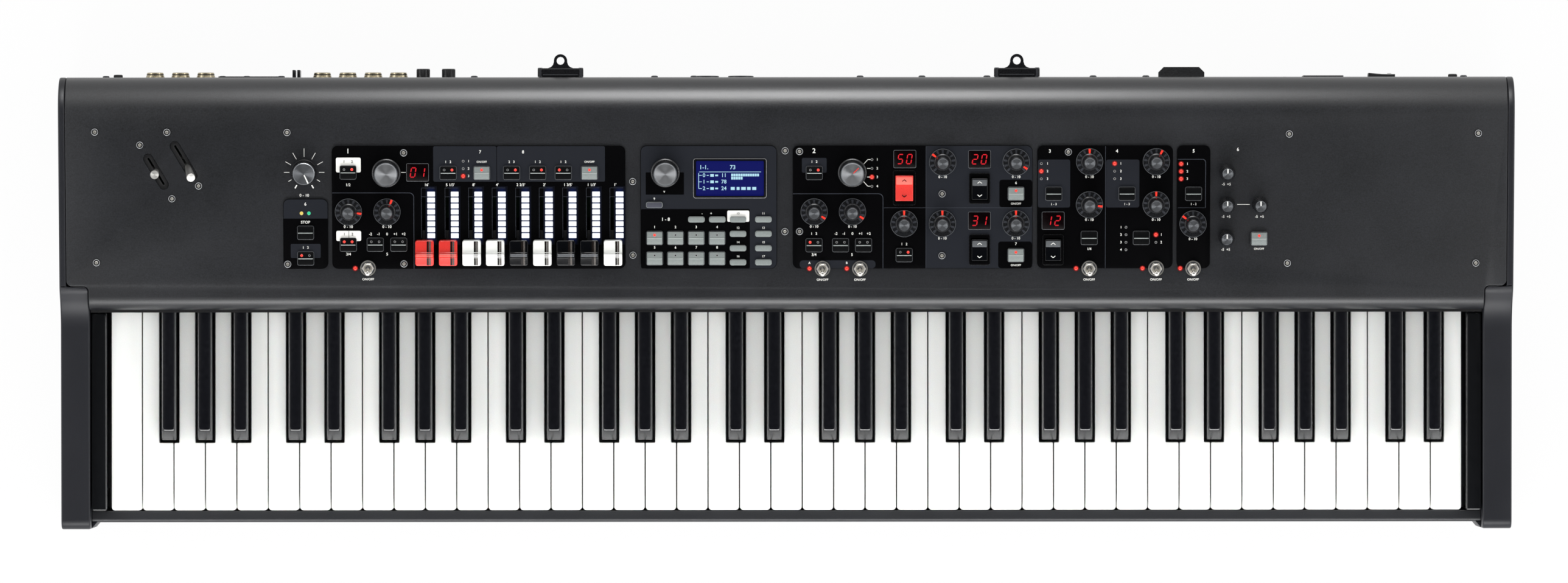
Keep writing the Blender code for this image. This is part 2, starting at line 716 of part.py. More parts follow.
def black_key(x):
    """One black key: a straight root and a crown that tapers on its sides and nose."""
    front = KEY_FRONT + WHITE_HEAD + BLACK_FRONT_GAP
    rear = LIP_Y + PLATE_LAP
    shape = bmesh.new()
    bmesh.ops.create_cube(shape, size=1)
    middle = Vector((x, (front + rear) / 2, WHITE_TOP - BLACK_ROOT / 2))
    size = Matrix.Diagonal((BLACK_BASE, rear - front, BLACK_ROOT, 1))
    bmesh.ops.transform(shape, matrix=Matrix.Translation(middle) @ size, verts=shape.verts)
    top = [face for face in shape.faces if face.normal.z > 0.5]
    lifted = bmesh.ops.extrude_face_region(shape, geom=top)["geom"]
    bmesh.ops.delete(shape, geom=top, context="FACES_ONLY")
    for vertex in (item for item in lifted if isinstance(item, bmesh.types.BMVert)):
        vertex.co.z += BLACK_RISE
        vertex.co.x = x + (vertex.co.x - x) * BLACK_CROWN / BLACK_BASE
        if vertex.co.y < middle.y:
            vertex.co.y += BLACK_NOSE
    return finish(shape)


def make_combs():
    hinge_y, hinge_z = WHITE_PIVOT
    for section in range(len(COMB_STARTS)):
        first, last = comb_range(section)
        keys = slab(white_outline(first, last), WHITE_TOP - WHITE_DEPTH, WHITE_TOP)
        moved(keys, y=-hinge_y, z=-hinge_z)
        solid(f"white_keys_{section + 1}", keys, IVORY, at=(0, hinge_y, hinge_z))
    hinge_y, hinge_z = BLACK_PIVOT
    for section in range(len(COMB_STARTS)):
        first, last = comb_range(section)
        left = first * KEY_PITCH - KEYS_HALF + COMB_SIDE
        right = last * KEY_PITCH - KEYS_HALF - COMB_SIDE
        front, rear = LIP_Y + COMB_SIDE, hinge_y + RAIL_HALF
        leg_front = hinge_y - RAIL_HALF + mm
        top = BLACK_PLATE_Z + BLACK_PLATE
        profile = [
            (front, BLACK_PLATE_Z),
            (leg_front, BLACK_PLATE_Z),
            (leg_front, hinge_z),
            (rear, hinge_z),
            (rear, top),
            (front, top),
        ]
        plate = moved(bar(profile, left, right), y=-hinge_y, z=-hinge_z)
        comb = solid(f"black_keys_{section + 1}", plate, GLOSS, at=(0, hinge_y, hinge_z))
        joints = [joint for joint in range(first + 1, last + 1) if has_black(joint)]
        join(comb, together([black_key(black_x(joint)) for joint in joints]))


def make_key_bed():
    low = PAN_TOP + GAP
    top = low + BED_SHEET
    half = BED_SHEET / 2
    ridges = (
        (BLACK_PIVOT[0], BLACK_PIVOT[1] - GAP),
        (WHITE_PIVOT[0], WHITE_PIVOT[1] - GAP),
        (KEY_FRONT + GUIDE_IN, GUIDE_TOP),
    )
    profile = [(KEY_FRONT, low), (BLACK_PIVOT[0] + RAIL_HALF, low)]
    profile += [(BLACK_PIVOT[0] + RAIL_HALF, top)]
    for y, height in ridges:
        profile += [(y + half, top), (y + half, height), (y - half, height), (y - half, top)]
    profile += [(KEY_FRONT, top)]
    bed = solid("key_bed", bar(profile, -KEYS_HALF, KEYS_HALF), STEEL)
    join(bed, box((-CHEEK_OUTER, CHEEK_OUTER), (KEY_FRONT, LIP_Y), (low, top)))


# Holes through the deck, in deck coordinates

def hole(place, radius, low=-BOARD_DEPTH / 2, high=BOARD_DEPTH):
    return round_post(radius, low, high, SMALL_SIDES, at=place)


def slot_outline(length, width, turn, place):
    """A slot with round ends, seen square to the deck."""
    half = length / 2
    line = [(x, y + half) for x, y in circle(width / 2, KNOB_SIDES)[: KNOB_SIDES // 2 + 1]]
    line += [(x, y - half) for x, y in circle(width / 2, KNOB_SIDES, pi)[: KNOB_SIDES // 2 + 1]]
    spin = Matrix.Rotation(turn, 2)
    return [tuple(spin @ Vector(point) + Vector(place)) for point in line]


def drawbar_x(i):
    return DRAWBAR_FIRST[0] + i * DRAWBAR_PITCH


def drawbar_slots():
    width, length = DRAWBAR_STEM
    low = DRAWBAR_FIRST[1] - length / 2 - GAP
    high = DRAWBAR_FIRST[1] + length / 2 + DRAWBAR_TRAVEL + GAP
    half = width / 2 + GAP
    return [
        box((drawbar_x(i) - half, drawbar_x(i) + half), (low, high), (-DRAWBAR_RISE, DRAWBAR_RISE))
        for i in range(DRAWBARS)
    ]


def rocker_hole(place, size):
    half_x = size[0] / 2 + GAP
    half_v = size[1] / 2 + ROCKER_END_GAP
    x, v = place
    return box((x - half_x, x + half_x), (v - half_v, v + half_v), (-BOARD_DEPTH / 2, BOARD_DEPTH))


def toggle_holes(indices):
    return [hole(TOGGLE_PLACES[i], TOGGLE_BALL + GAP) for i in indices]


def deck_holes():
    shapes = [hole(MASTER_PLACE, SHAFT + GAP)]
    shapes += [hole(place, SHAFT + GAP) for place in ENCODER_PLACES.values()]
    shapes += toggle_holes(range(len(TOGGLE_PLACES)))
    shapes += drawbar_slots()
    shapes += [rocker_hole(*spec) for spec in ROCKERS.values()]
    for place, length in ((PITCH_PLACE, PITCH_SLOT), (MODULATION_PLACE, MODULATION_SLOT)):
        outline = slot_outline(length, SLOT_WIDTH, SLOT_TURN, place)
        shapes.append(slab(outline, -BOARD_DEPTH / 2, BOARD_DEPTH))
    return shapes


# Control panels

def button(place, size=BUTTON):
    """A push button whose top rises from both edges to a ridge across its middle."""
    length = size[1]
    low = FACE - FASCIA / 2
    profile = [
        (-length / 2, low),
        (length / 2, low),
        (length / 2, FACE + BUTTON_EDGE_RISE),
        (BUTTON_RIDGE / 2, FACE + BUTTON_RISE),
        (-BUTTON_RIDGE / 2, FACE + BUTTON_RISE),
        (-length / 2, FACE + BUTTON_EDGE_RISE),
    ]
    return moved(bar(profile, -size[0] / 2, size[0] / 2), x=place[0], y=place[1])


def pill(place):
    low = FACE - FASCIA / 2
    half_x, half_v = PILL[0] / 2, PILL[1] / 2
    outline = rectangle((-half_x, half_x), (-half_v, half_v), PILL_CORNER, steps=2)
    return moved(slab(outline, low, FACE + PILL_RISE), x=place[0], y=place[1])


def digit_window(place):
    x, v = place
    half_x, half_v = DIGITS[0] / 2, DIGITS[1] / 2
    return box(
        (x - half_x, x + half_x), (v - half_v, v + half_v), (FACE - FASCIA / 2, FACE + DIGITS_RISE)
    )


def ring(place):
    return round_post(RING_RADIUS, FACE - FASCIA / 2, FACE + RING_RISE, KNOB_SIDES, at=place)


def ring_knob(place, foot=SMALL_KNOB_FOOT, head=SMALL_KNOB_HEAD):
    return round_post(foot, FACE - FASCIA / 2, FACE + SMALL_KNOB_RISE, SMALL_SIDES, head, place)


def switch_bush(place):
    """The nut and bush that a toggle switch stands in."""
    nut = round_post(NUT_RADIUS, FACE - FASCIA / 2, FACE + NUT_RISE, 6, at=place)
    return nut, round_post(BUSH_RADIUS, FACE, FACE + BUSH_RISE, SMALL_SIDES, at=place)


def rocker_rim(place, size):
    half_x = size[0] / 2 + GAP + ROCKER_RIM
    half_v = size[1] / 2 + ROCKER_END_GAP + ROCKER_RIM
    x, v = place
    top = FACE + ROCKER_RIM_RISE
    return box((x - half_x, x + half_x), (v - half_v, v + half_v), (FACE - FASCIA / 2, top))


def fascia(name, span, raised, holes, toggles=(), knobs=(), extra=()):
    """A control panel: its plate, what stands up from it, and the holes through it."""
    outline = rectangle(span, (PANEL_FRONT_V, PANEL_REAR_V), FASCIA_CORNER)
    plate = solid(name, slab(outline, GAP, FACE), GLOSS, parent=deck)
    for shape in extra:
        join(plate, shape, parent=deck)
    if toggles:
        washers = [
            round_post(WASHER_RADIUS, GAP, FACE + WASHER_RISE, KNOB_SIDES, at=TOGGLE_PLACES[i])
            for i in toggles
        ]
        join(plate, together(washers), parent=deck)
        bushes = [switch_bush(TOGGLE_PLACES[i]) for i in toggles]
        join(plate, together([nut for nut, _ in bushes]), parent=deck)
        join(plate, together([bush for _, bush in bushes]), parent=deck)
    join(plate, together(raised), parent=deck)
    if knobs:
        join(plate, together(knobs), parent=deck)
    cut(plate, together(holes + toggle_holes(toggles)), parent=deck)
    return plate


def places(*pairs):
    return [(x * mm, v * mm) for x, v in pairs]


def make_organ_fascia():
    knob_places = places((-326.2, 73.8), (-297.5, 73.8))
    button_places = places(
        (-326.3, 103.4), (-326.4, 49.2), (-306.3, 49.2), (-288.8, 49.2),
        (-251.8, 103.0), (-226.8, 103.0), (-204.6, 103.0), (-185.2, 103.0),
        (-166.1, 103.0), (-146.6, 103.0), (-358.2, 58.2), (-358.2, 38.9),
    )
    raised = [ring(place) for place in knob_places]
    raised += [button(place) for place in button_places]
    raised += [digit_window((-274.6 * mm, 103.4 * mm))]
    for i in range(DRAWBARS):
        x = drawbar_x(i)
        span = (x + LAMP_BAR[0], x + LAMP_BAR[1])
        raised.append(box(span, LAMP_BAR_V, (FACE - FASCIA / 2, FACE + LAMP_BAR_RISE)))
    rotary = rectangle(
        (ROTARY_X[0], ORGAN_X[0] + FASCIA_CORNER), (PANEL_FRONT_V, ROTARY_REAR_V), FASCIA_CORNER
    )
    holes = drawbar_slots() + [hole(ENCODER_PLACES["organ_model_knob"], SHAFT + GAP)]
    fascia(
        "organ_fascia", ORGAN_X, raised, holes, toggles=(0,),
        knobs=[ring_knob(place) for place in knob_places],
        extra=[slab(rotary, GAP, FACE)],
    )


def make_display_fascia():
    raised = []
    for row in range(2):
        for column in range(4):
            raised.append(button(((-98.2 + 15.5 * column) * mm, (54.1 - 15.3 * row) * mm)))
    pill_places = places((-98.4, 78.9), (-67.1, 68.0), (-51.5, 68.0))
    for v in (68.0, 57.2, 46.4, 35.8):
        pill_places += places((-36.1, v), (-17.2, v))
    raised += [pill(place) for place in pill_places]
    lens = box(
        (DISPLAY_LENS_X[0] - GAP, DISPLAY_LENS_X[1] + GAP),
        (DISPLAY_LENS_V[0] - GAP, DISPLAY_LENS_V[1] + GAP),
        (-FACE, 2 * FACE),
    )
    fascia(
        "display_fascia", DISPLAY_X, raised, [lens, hole(ENCODER_PLACES["data_knob"], SHAFT + GAP)]
    )
    window = box(DISPLAY_LENS_X, DISPLAY_LENS_V, (GAP, FACE))
    solid("display_window", window, BLUE_GLASS, parent=deck)


def make_voice_fascia():
    knob_places = places(
        (20.6, 73.7), (49.1, 73.7), (87.6, 64.8), (116.3, 110.9), (116.1, 64.8),
        (171.0, 110.9), (170.9, 64.8),
    )
    button_places = places(
        (20.7, 102.8), (20.5, 48.6), (40.3, 48.6), (57.4, 48.6), (87.7, 41.1),
        (170.9, 87.2), (170.9, 41.0),
    )
    raised = [ring(place) for place in knob_places] + [button(place) for place in button_places]
    raised += [digit_window(p) for p in places((88.1, 113.2), (143.7, 113.0), (143.7, 66.9))]
    names = ("voice_select_rocker", "effect_one_rocker", "effect_two_rocker")
    raised += [rocker_rim(*ROCKERS[name]) for name in names]
    holes = [rocker_hole(*ROCKERS[name]) for name in names]
    holes += [hole(ENCODER_PLACES["voice_knob"], SHAFT + GAP)]
    fascia(
        "voice_fascia", VOICE_X, raised, holes, toggles=(1, 2),
        knobs=[ring_knob(place) for place in knob_places],
    )


def make_effect_fascia():
    ring_places = places(
        (225.6, 111.1), (225.6, 78.9), (275.3, 111.1), (275.3, 78.9), (302.8, 64.4)
    )
    tone_places = places((328.1, 103.1), (328.0, 78.8), (352.8, 78.8), (327.8, 54.1))
    button_places = places(
        (199.0, 87.1), (253.5, 87.1), (225.5, 53.9), (264.3, 53.9), (303.1, 87.0), (352.1, 53.3)
    )
    raised = [ring(place) for place in ring_places] + [button(place) for place in button_places]
    raised += [digit_window((198.6 * mm, 66.9 * mm)), rocker_rim(*ROCKERS["effect_three_rocker"])]
    knobs = [ring_knob(place) for place in ring_places]
    knobs += [ring_knob(place, TONE_KNOB_FOOT, TONE_KNOB_HEAD) for place in tone_places]
    fascia(
        "effect_fascia", EFFECT_X, raised, [rocker_hole(*ROCKERS["effect_three_rocker"])],
        toggles=(3, 4, 5), knobs=knobs,
    )


# Moving controls

def make_knobs():
    specs = {name: (place, KNOB_SKIRT, KNOB_CAP, FACE) for name, place in ENCODER_PLACES.items()}
    specs["master_volume_knob"] = (MASTER_PLACE, MASTER_SKIRT, MASTER_CAP, 0.0)
    for name, (place, skirt, cap, base) in specs.items():
        low = base + RUN
        knob = solid(
            name, round_post(skirt, low, low + KNOB_SKIRT_RISE, KNOB_SIDES), METAL,
            parent=deck, at=(*place, 0),
        )
        body = round_post(cap, low + mm, base + KNOB_RISE, KNOB_SIDES)
        shaft = round_post(SHAFT, GAP - BOARD_DEPTH, low + mm, SMALL_SIDES)
        join(knob, body, parent=deck, at=(*place, 0))
        join(knob, shaft, parent=deck, at=(*place, 0))


def make_drawbars():
    width, length = DRAWBAR_CAP
    half = length / 2
    low = FACE + RUN
    top = FACE + DRAWBAR_RISE
    profile = rounded(
        [
            (-half, low, 0),
            (half, low, 0),
            (half, top - DRAWBAR_REAR_DROP, DRAWBAR_EDGE),
            (DRAWBAR_RIDGE[1], top, 0),
            (DRAWBAR_RIDGE[0], top, 0),
            (DRAWBAR_RIDGE[0] - DRAWBAR_STEP, top - DRAWBAR_STEP, 0),
            (-half, top - DRAWBAR_FRONT_DROP, DRAWBAR_EDGE),
        ],
        steps=2,
    )
    stem_x, stem_v = DRAWBAR_STEM
    shoe_x, shoe_v, shoe_w = DRAWBAR_SHOE
    shoe_top = -SHEET - GAP
    for i in range(DRAWBARS):
        place = (drawbar_x(i), DRAWBAR_FIRST[1], 0)
        cap = bar(profile, -width / 2, width / 2)
        drawbar = solid(f"drawbar_{i + 1}", cap, DRAWBAR_FINISHES[i], parent=deck, at=place)
        stem = box(
            (-stem_x / 2, stem_x / 2), (-stem_v / 2, stem_v / 2), (shoe_top - mm, low + mm)
        )
        shoe = box(
            (-shoe_x / 2, shoe_x / 2),
            (-stem_v / 2, shoe_v - stem_v / 2),
            (shoe_top - shoe_w, shoe_top),
        )
        join(drawbar, stem, parent=deck, at=place)
        join(drawbar, shoe, parent=deck, at=place)


def make_levers():
    radius, half = LEVER_HUB
    specs = (
        ("pitch_lever", PITCH_PLACE, 0.0),
        ("modulation_lever", MODULATION_PLACE, MODULATION_REST),
    )
    for name, place, lean in specs:
        spot = dict(parent=deck, at=(*place, -LEVER_PIVOT_DEPTH), turn=(lean, 0, SLOT_TURN))
        hub = round_post(radius, -half, half, SMALL_SIDES)
        hub.transform(SIDEWAYS)
        lever = solid(name, hub, METAL, **spot)
        stick = round_post(
            LEVER_ROOT_RADIUS, 0, LEVER_PIVOT_DEPTH + LEVER_HEIGHT, SMALL_SIDES, LEVER_TOP_RADIUS
        )
        join(lever, stick, **spot)


def make_toggles():
    pivot = FACE + TOGGLE_BALL / 2
    for name, place in zip(TOGGLE_NAMES, TOGGLE_PLACES):
        spot = dict(parent=deck, at=(*place, pivot), turn=(TOGGLE_REST, 0, 0))
        toggle = solid(name, ball(TOGGLE_BALL, 0), STEEL, **spot)
        join(toggle, round_post(TOGGLE_ROOT, 0, TOGGLE_BAT, SMALL_SIDES, TOGGLE_TIP), **spot)


def make_rockers():
    for name, (place, (width, length)) in ROCKERS.items():
        half = length / 2
        top = ROCKER_TOP
        profile = [
            (-half, -ROCKER_BELOW),
            (half, -ROCKER_BELOW),
            (half, top),
            (0, top - ROCKER_DISH),
            (-half, top),
        ]
        body = bar(profile, -width / 2, width / 2)
        solid(name, body, MOULDED, parent=deck, at=(*place, FACE))


def make_control_board():
    top = -BOARD_DEPTH
    board = solid(
        "control_board", box(BOARD_X, BOARD_V, (top - BOARD, top)), BOARD_GREEN, parent=deck
    )
    posts = [
        round_post(POST_RADIUS, top - BOARD / 2, -SHEET - GAP, 10, at=(x, v))
        for x in POST_X
        for v in POST_V
    ]
    join(board, together(posts), parent=deck)
    radius, half = LEVER_HUB
    inner, outer = half + GAP, half + GAP + CRADLE
    low = LEVER_PIVOT_DEPTH - BOARD_DEPTH - BOARD / 2
    for place in (PITCH_PLACE, MODULATION_PLACE):
        sides = [
            box(span, (-radius - mm, radius + mm), (low, radius))
            for span in ((inner, outer), (-outer, -inner))
        ]
        join(
            board, together(sides), parent=deck, at=(*place, -LEVER_PIVOT_DEPTH),
            turn=(0, 0, SLOT_TURN),
        )


# Rear

BACKWARD = Matrix.Rotation(pi / 2, 4, "X")


def rearward(mesh):
    """Turns a shape built up along z so that its z points along -y."""
    mesh.transform(BACKWARD)
    return mesh


def rear_post(radius, x, z, inner, proud, sides=SMALL_SIDES):
    """A round shape through the jack panel, from a depth inside it to a height behind it."""
    mesh = rearward(round_post(radius, -proud, inner, sides))
    return moved(mesh, x=x, y=REAR_Y, z=z)


def rear_box(spec, z, inner, proud, wall=0.0):
    x, width, height = spec
    half_x, half_z = width / 2 + wall, height / 2 + wall
    return box((x - half_x, x + half_x), (REAR_Y - inner, REAR_Y + proud), (z - half_z, z + half_z))


def make_jack_panel():
    top = REAR_LIP_Z - GAP
    panel = solid(
        "jack_panel",
        box((-PANEL_HALF, PANEL_HALF), (REAR_Y - WALL, REAR_Y), (FOOT_HEIGHT, top)),
        PAINT,
    )
    bodies = [rear_post(JACK_RADIUS, x, JACK_Z, JACK_DEPTH + SOCKET_FLOOR, JACK_PROUD) for x in JACK_X]
    bodies += [rear_post(GAIN_RADIUS, x, JACK_Z, WALL / 2, GAIN_PROUD) for x in GAIN_X]
    bodies += [
        rear_post(
            ROUND_SOCKET_RADIUS, x, JACK_Z, ROUND_SOCKET_DEPTH + SOCKET_FLOOR, SOCKET_PROUD, KNOB_SIDES
        )
        for x in ROUND_SOCKET_X
    ]
    square_inner = SQUARE_SOCKET_DEPTH + SOCKET_FLOOR
    for spec in (HOST_SOCKET, DEVICE_SOCKET):
        bodies.append(rear_box(spec, JACK_Z, square_inner, PORT_PROUD, SOCKET_WALL))
    inlet_inner = INLET_DEPTH + SOCKET_FLOOR
    bodies.append(rear_box(INLET, JACK_Z, inlet_inner, SOCKET_PROUD, SOCKET_WALL))
    bodies.append(rear_box(POWER_SWITCH, JACK_Z, WALL / 2, POWER_SWITCH_PROUD))
    join(panel, together(bodies))
    left, right = CORD_HOOK_X
    far = REAR_Y + CORD_HOOK_REACH
    chamfer = CORD_HOOK_CHAMFER
    hook = [
        (left, REAR_Y - WALL / 2),
        (right, REAR_Y - WALL / 2),
        (right, far - chamfer),
        (right - chamfer, far),
        (left + chamfer, far),
        (left, far - chamfer),
    ]
    join(panel, slab(hook, *CORD_HOOK_Z))
    bores = [rear_post(JACK_BORE, x, JACK_Z, JACK_DEPTH, BORE_REACH) for x in JACK_X]
    bores += [
        rear_post(ROUND_SOCKET_BORE, x, JACK_Z, ROUND_SOCKET_DEPTH, BORE_REACH)
        for x in ROUND_SOCKET_X
    ]
    bores += [
        rear_box(spec, JACK_Z, SQUARE_SOCKET_DEPTH, BORE_REACH)
        for spec in (HOST_SOCKET, DEVICE_SOCKET)
    ]
    bores.append(rear_box(INLET, JACK_Z, INLET_DEPTH, BORE_REACH))
    cut(panel, together(bores))


def make_stand_brackets():
    eye_y = BRACKET_REACH - EYE_RADIUS
    for name, x in zip(("left_stand_bracket", "right_stand_bracket"), BRACKET_X):
        base = box(
            (-BRACKET_WIDTH / 2, BRACKET_WIDTH / 2), (GAP, BRACKET_BASE), BRACKET_Z, bevel=BRACKET_BEVEL
        )
        bracket = solid(name, base, STEEL, at=(x, REAR_Y, 0))
        high = BRACKET_Z[1] - EYE_BELOW
        eye = circle(EYE_RADIUS, EYE_SIDES)[: EYE_SIDES // 2 + 1]
        outline = [(a, b + eye_y) for a, b in eye] + [
            (-EYE_RADIUS, BRACKET_BASE / 2),
            (EYE_RADIUS, BRACKET_BASE / 2),
        ]
        join(bracket, slab(outline, high - EYE_SHEET, high), at=(x, REAR_Y, 0))
        drill = round_post(EYE_HOLE, high - 2 * EYE_SHEET, high + EYE_SHEET, at=(0, eye_y))
        cut(bracket, drill, at=(x, REAR_Y, 0))


make_top_panel()
make_end_blocks()
make_bottom_pan()
make_key_slip()
make_cheek_blocks()
make_feet()
make_combs()
make_key_bed()
make_organ_fascia()
make_display_fascia()
make_voice_fascia()
make_effect_fascia()
make_knobs()
make_drawbars()
make_levers()
make_toggles()
make_rockers()
make_control_board()
make_jack_panel()
make_stand_brackets()
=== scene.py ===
"""The looks of a 73-key drawbar organ: its finishes, and finer pieces that stand for its solids.

Shapes are drawn in millimetres. Those on the sloping deck use (x, v, w): v runs up the sheet
from its front lip, and w stands square to the sheet.
"""
from math import cos, pi, radians, sin, tan

import bmesh
import bpy
from mathutils import Matrix, Vector


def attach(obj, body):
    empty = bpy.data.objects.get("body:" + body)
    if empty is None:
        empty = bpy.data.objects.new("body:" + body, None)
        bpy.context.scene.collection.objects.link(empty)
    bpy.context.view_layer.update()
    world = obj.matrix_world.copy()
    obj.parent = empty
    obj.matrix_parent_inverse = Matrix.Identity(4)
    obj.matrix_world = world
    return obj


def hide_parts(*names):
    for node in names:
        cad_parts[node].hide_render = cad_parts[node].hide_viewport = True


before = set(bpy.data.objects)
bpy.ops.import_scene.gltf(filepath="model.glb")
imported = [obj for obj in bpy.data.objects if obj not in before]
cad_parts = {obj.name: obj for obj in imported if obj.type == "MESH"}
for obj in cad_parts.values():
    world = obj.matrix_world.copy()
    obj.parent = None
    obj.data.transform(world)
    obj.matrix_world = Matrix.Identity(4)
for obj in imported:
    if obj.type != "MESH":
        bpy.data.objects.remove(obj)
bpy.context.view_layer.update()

# Places that the solids share, in millimetres
TILT = radians(7.5)
LIP_Y, LIP_Z, REAR_Y = -13.5, 110.5, 160.0
NOTCH_Y, HALF_WIDTH, ARM_INNER, PANEL_HALF = 3.9, 542.0, 520.5, 536.7
KEY_PITCH, KEYS_HALF, KEY_FRONT, KEY_TOP = 23.5, 505.25, -163.4, 84.0
LIP_ROLL, REAR_ROLL, SHEET = 12, 24, 1.6

# A running gap, the height of an overlay's face above the deck, and the height of printed ink
GAP, FACE, INK = 0.3, 1.3, 0.05
MM = Matrix.Scale(0.001, 4)
DECK = Matrix.Translation((0, LIP_Y / 1000, LIP_Z / 1000)) @ Matrix.Rotation(TILT, 4, "X") @ MM
SIDEWAYS = Matrix(((0, 0, 1, 0), (1, 0, 0, 0), (0, 1, 0, 0), (0, 0, 0, 1)))


def deck_z(y):
    return LIP_Z + (y - LIP_Y) * tan(TILT)


def shift(x=0.0, y=0.0, z=0.0):
    return Matrix.Translation((x, y, z))


def spin(degrees, axis="Z"):
    return Matrix.Rotation(radians(degrees), 4, axis)


def at(x, v, w=0.0, turn=0.0):
    """A place on the deck, turned by degrees about the deck's own upright."""
    return DECK @ shift(x, v, w) @ spin(turn)


# Finishes

def ink_of(hex_colour):
    """Linear RGBA of an sRGB hex colour."""
    parts = [int(hex_colour[i:i + 2], 16) / 255 for i in (1, 3, 5)]
    return (*[c / 12.92 if c <= 0.04045 else ((c + 0.055) / 1.055) ** 2.4 for c in parts], 1)


def add(tree, kind, settings, inputs):
    """Adds a node: an input is a value, or the output socket that feeds it."""
    made = tree.nodes.new(kind)
    for name, value in settings.items():
        setattr(made, name, value)
    for name, value in inputs.items():
        if isinstance(value, bpy.types.NodeSocket):
            tree.links.new(value, made.inputs[name])
        else:
            made.inputs[name].default_value = value
    return made


def surface(name, colour, roughness, **sockets):
    """A material with these values on its own shader."""
    made = bpy.data.materials.new(name)
    made.use_nodes = True
    shader = made.node_tree.nodes["Principled BSDF"]
    shader.inputs["Base Color"].default_value = ink_of(colour)
    shader.inputs["Roughness"].default_value = roughness
    for socket, value in sockets.items():
        shader.inputs[socket.replace("_", " ")].default_value = value
    return made


def grained(made, grain_mm, depth_mm, pale, dark, roughness):
    """Gives a moulded or sprayed surface its grain, in colour, height and gloss."""
    tree = made.node_tree
    shader = tree.nodes["Principled BSDF"]
    place = add(tree, "ShaderNodeTexCoord", {}, {}).outputs["Object"]
    fine = add(tree, "ShaderNodeTexNoise", {}, {
        "Vector": place, "Scale": 1000 / grain_mm, "Detail": 3.0, "Roughness": 0.6})
    broad = add(tree, "ShaderNodeTexNoise", {}, {
        "Vector": place, "Scale": 1000 / (grain_mm * 60), "Detail": 2.0})
    both = add(tree, "ShaderNodeMath", {"operation": "MULTIPLY_ADD"}, {
        0: broad.outputs["Fac"], 1: 0.3, 2: fine.outputs["Fac"]})
    spread = add(tree, "ShaderNodeMapRange", {}, {
        "Value": both.outputs[0], "From Min": 0.4, "From Max": 0.9})
    colour = add(tree, "ShaderNodeMix", {"data_type": "RGBA"}, {
        "Factor": spread.outputs[0], 6: ink_of(dark), 7: ink_of(pale)})
    tree.links.new(colour.outputs[2], shader.inputs["Base Color"])
    gloss = add(tree, "ShaderNodeMapRange", {}, {
        "Value": both.outputs[0], "From Min": 0.4, "From Max": 0.9,
        "To Min": roughness[0], "To Max": roughness[1]})
    tree.links.new(gloss.outputs[0], shader.inputs["Roughness"])
    bump = add(tree, "ShaderNodeBump", {}, {
        "Height": fine.outputs["Fac"], "Strength": 0.35, "Distance": depth_mm / 1000})
    tree.links.new(bump.outputs["Normal"], shader.inputs["Normal"])
    return made


def textured_enamel():
    """Charcoal textured enamel on steel: sprayed and baked, so its fine pimples scatter light."""
    made = surface("textured_enamel", "#141619", 0.37, Specular_IOR_Level=0.6)
    return grained(made, 0.9, 0.1, "#1e2025", "#0a0b0d", (0.33, 0.41))


def moulded_abs(name, colour, pale, roughness, shine=0.4):
    """ABS moulded in a lightly etched tool: satin, with a grain that is only just seen."""
    made = surface(name, colour, roughness, Specular_IOR_Level=shine)
    return grained(made, 0.7, 0.05, pale, colour, (roughness - 0.05, roughness + 0.08))


def piano_black():
    """Black acrylic lacquer on the cheek blocks: a deep, wet gloss."""
    made = surface("piano_black", "#121315", 0.12, Coat_Weight=0.4, Coat_Roughness=0.05)
    return grained(made, 5.0, 0.002, "#141517", "#101113", (0.09, 0.16))


def key_acrylic():
    """Cast white key tops, buffed, a touch warm and slightly see-through at the edges."""
    made = surface("key_acrylic", "#f1f2ef", 0.28, Subsurface_Weight=0.06,
                   Subsurface_Scale=0.002)
    return grained(made, 0.5, 0.002, "#f4f5f3", "#f0f1ee", (0.24, 0.3))


def ebony_abs():
    """Black key caps: buffed dark resin with a cool cast."""
    made = surface("ebony_abs", "#0a0b10", 0.2, Specular_IOR_Level=0.9)
    return grained(made, 3.0, 0.005, "#0c0d13", "#08090d", (0.16, 0.24))


def printed_film(name, colour):
    """Matt-lacquered polyester overlay, screen printed from behind."""
    made = surface(name, colour, 0.42, Specular_IOR_Level=0.02)
    return grained(made, 1.2, 0.01, colour, colour, (0.36, 0.46))


def screen_ink():
    """Opaque white ink, squeezed through a mesh: flat, with a trace of the mesh in its gloss."""
    made = surface("screen_ink", "#e9e9e4", 0.55)
    return grained(made, 0.4, 0.005, "#ecece7", "#e5e5e0", (0.5, 0.6))


def spun_aluminium(name, colour, roughness, metallic=1.0):
    """Aluminium turned on a lathe: fine grooves round the axis draw highlights out into fans."""
    made = surface(name, colour, roughness, Metallic=metallic, Anisotropic=0.85)
    tree = made.node_tree
    shader = tree.nodes["Principled BSDF"]
    tangent = add(tree, "ShaderNodeTangent", {"direction_type": "UV_MAP", "uv_map": "turning"}, {})
    tree.links.new(tangent.outputs["Tangent"], shader.inputs["Tangent"])
    turning = add(tree, "ShaderNodeUVMap", {"uv_map": "turning"}, {})
    rings = add(tree, "ShaderNodeTexNoise", {"noise_dimensions": "2D"}, {
        "Vector": add(tree, "ShaderNodeMapping", {}, {
            "Vector": turning.outputs["UV"], "Scale": (3.0, 14.0, 1.0)}).outputs["Vector"],
        "Scale": 1.0, "Detail": 2.0})
    shade = add(tree, "ShaderNodeMapRange", {}, {
        "Value": rings.outputs["Fac"], "To Min": roughness - 0.03, "To Max": roughness + 0.05})
    tree.links.new(shade.outputs[0], shader.inputs["Roughness"])
    return made


def nickel_plate():
    """Bright nickel over brass, with the faint haze of handled hardware."""
    made = surface("nickel_plate", "#e2dfd8", 0.32, Metallic=1.0)
    return grained(made, 2.0, 0.005, "#e8e5de", "#d6d3cc", (0.28, 0.38))


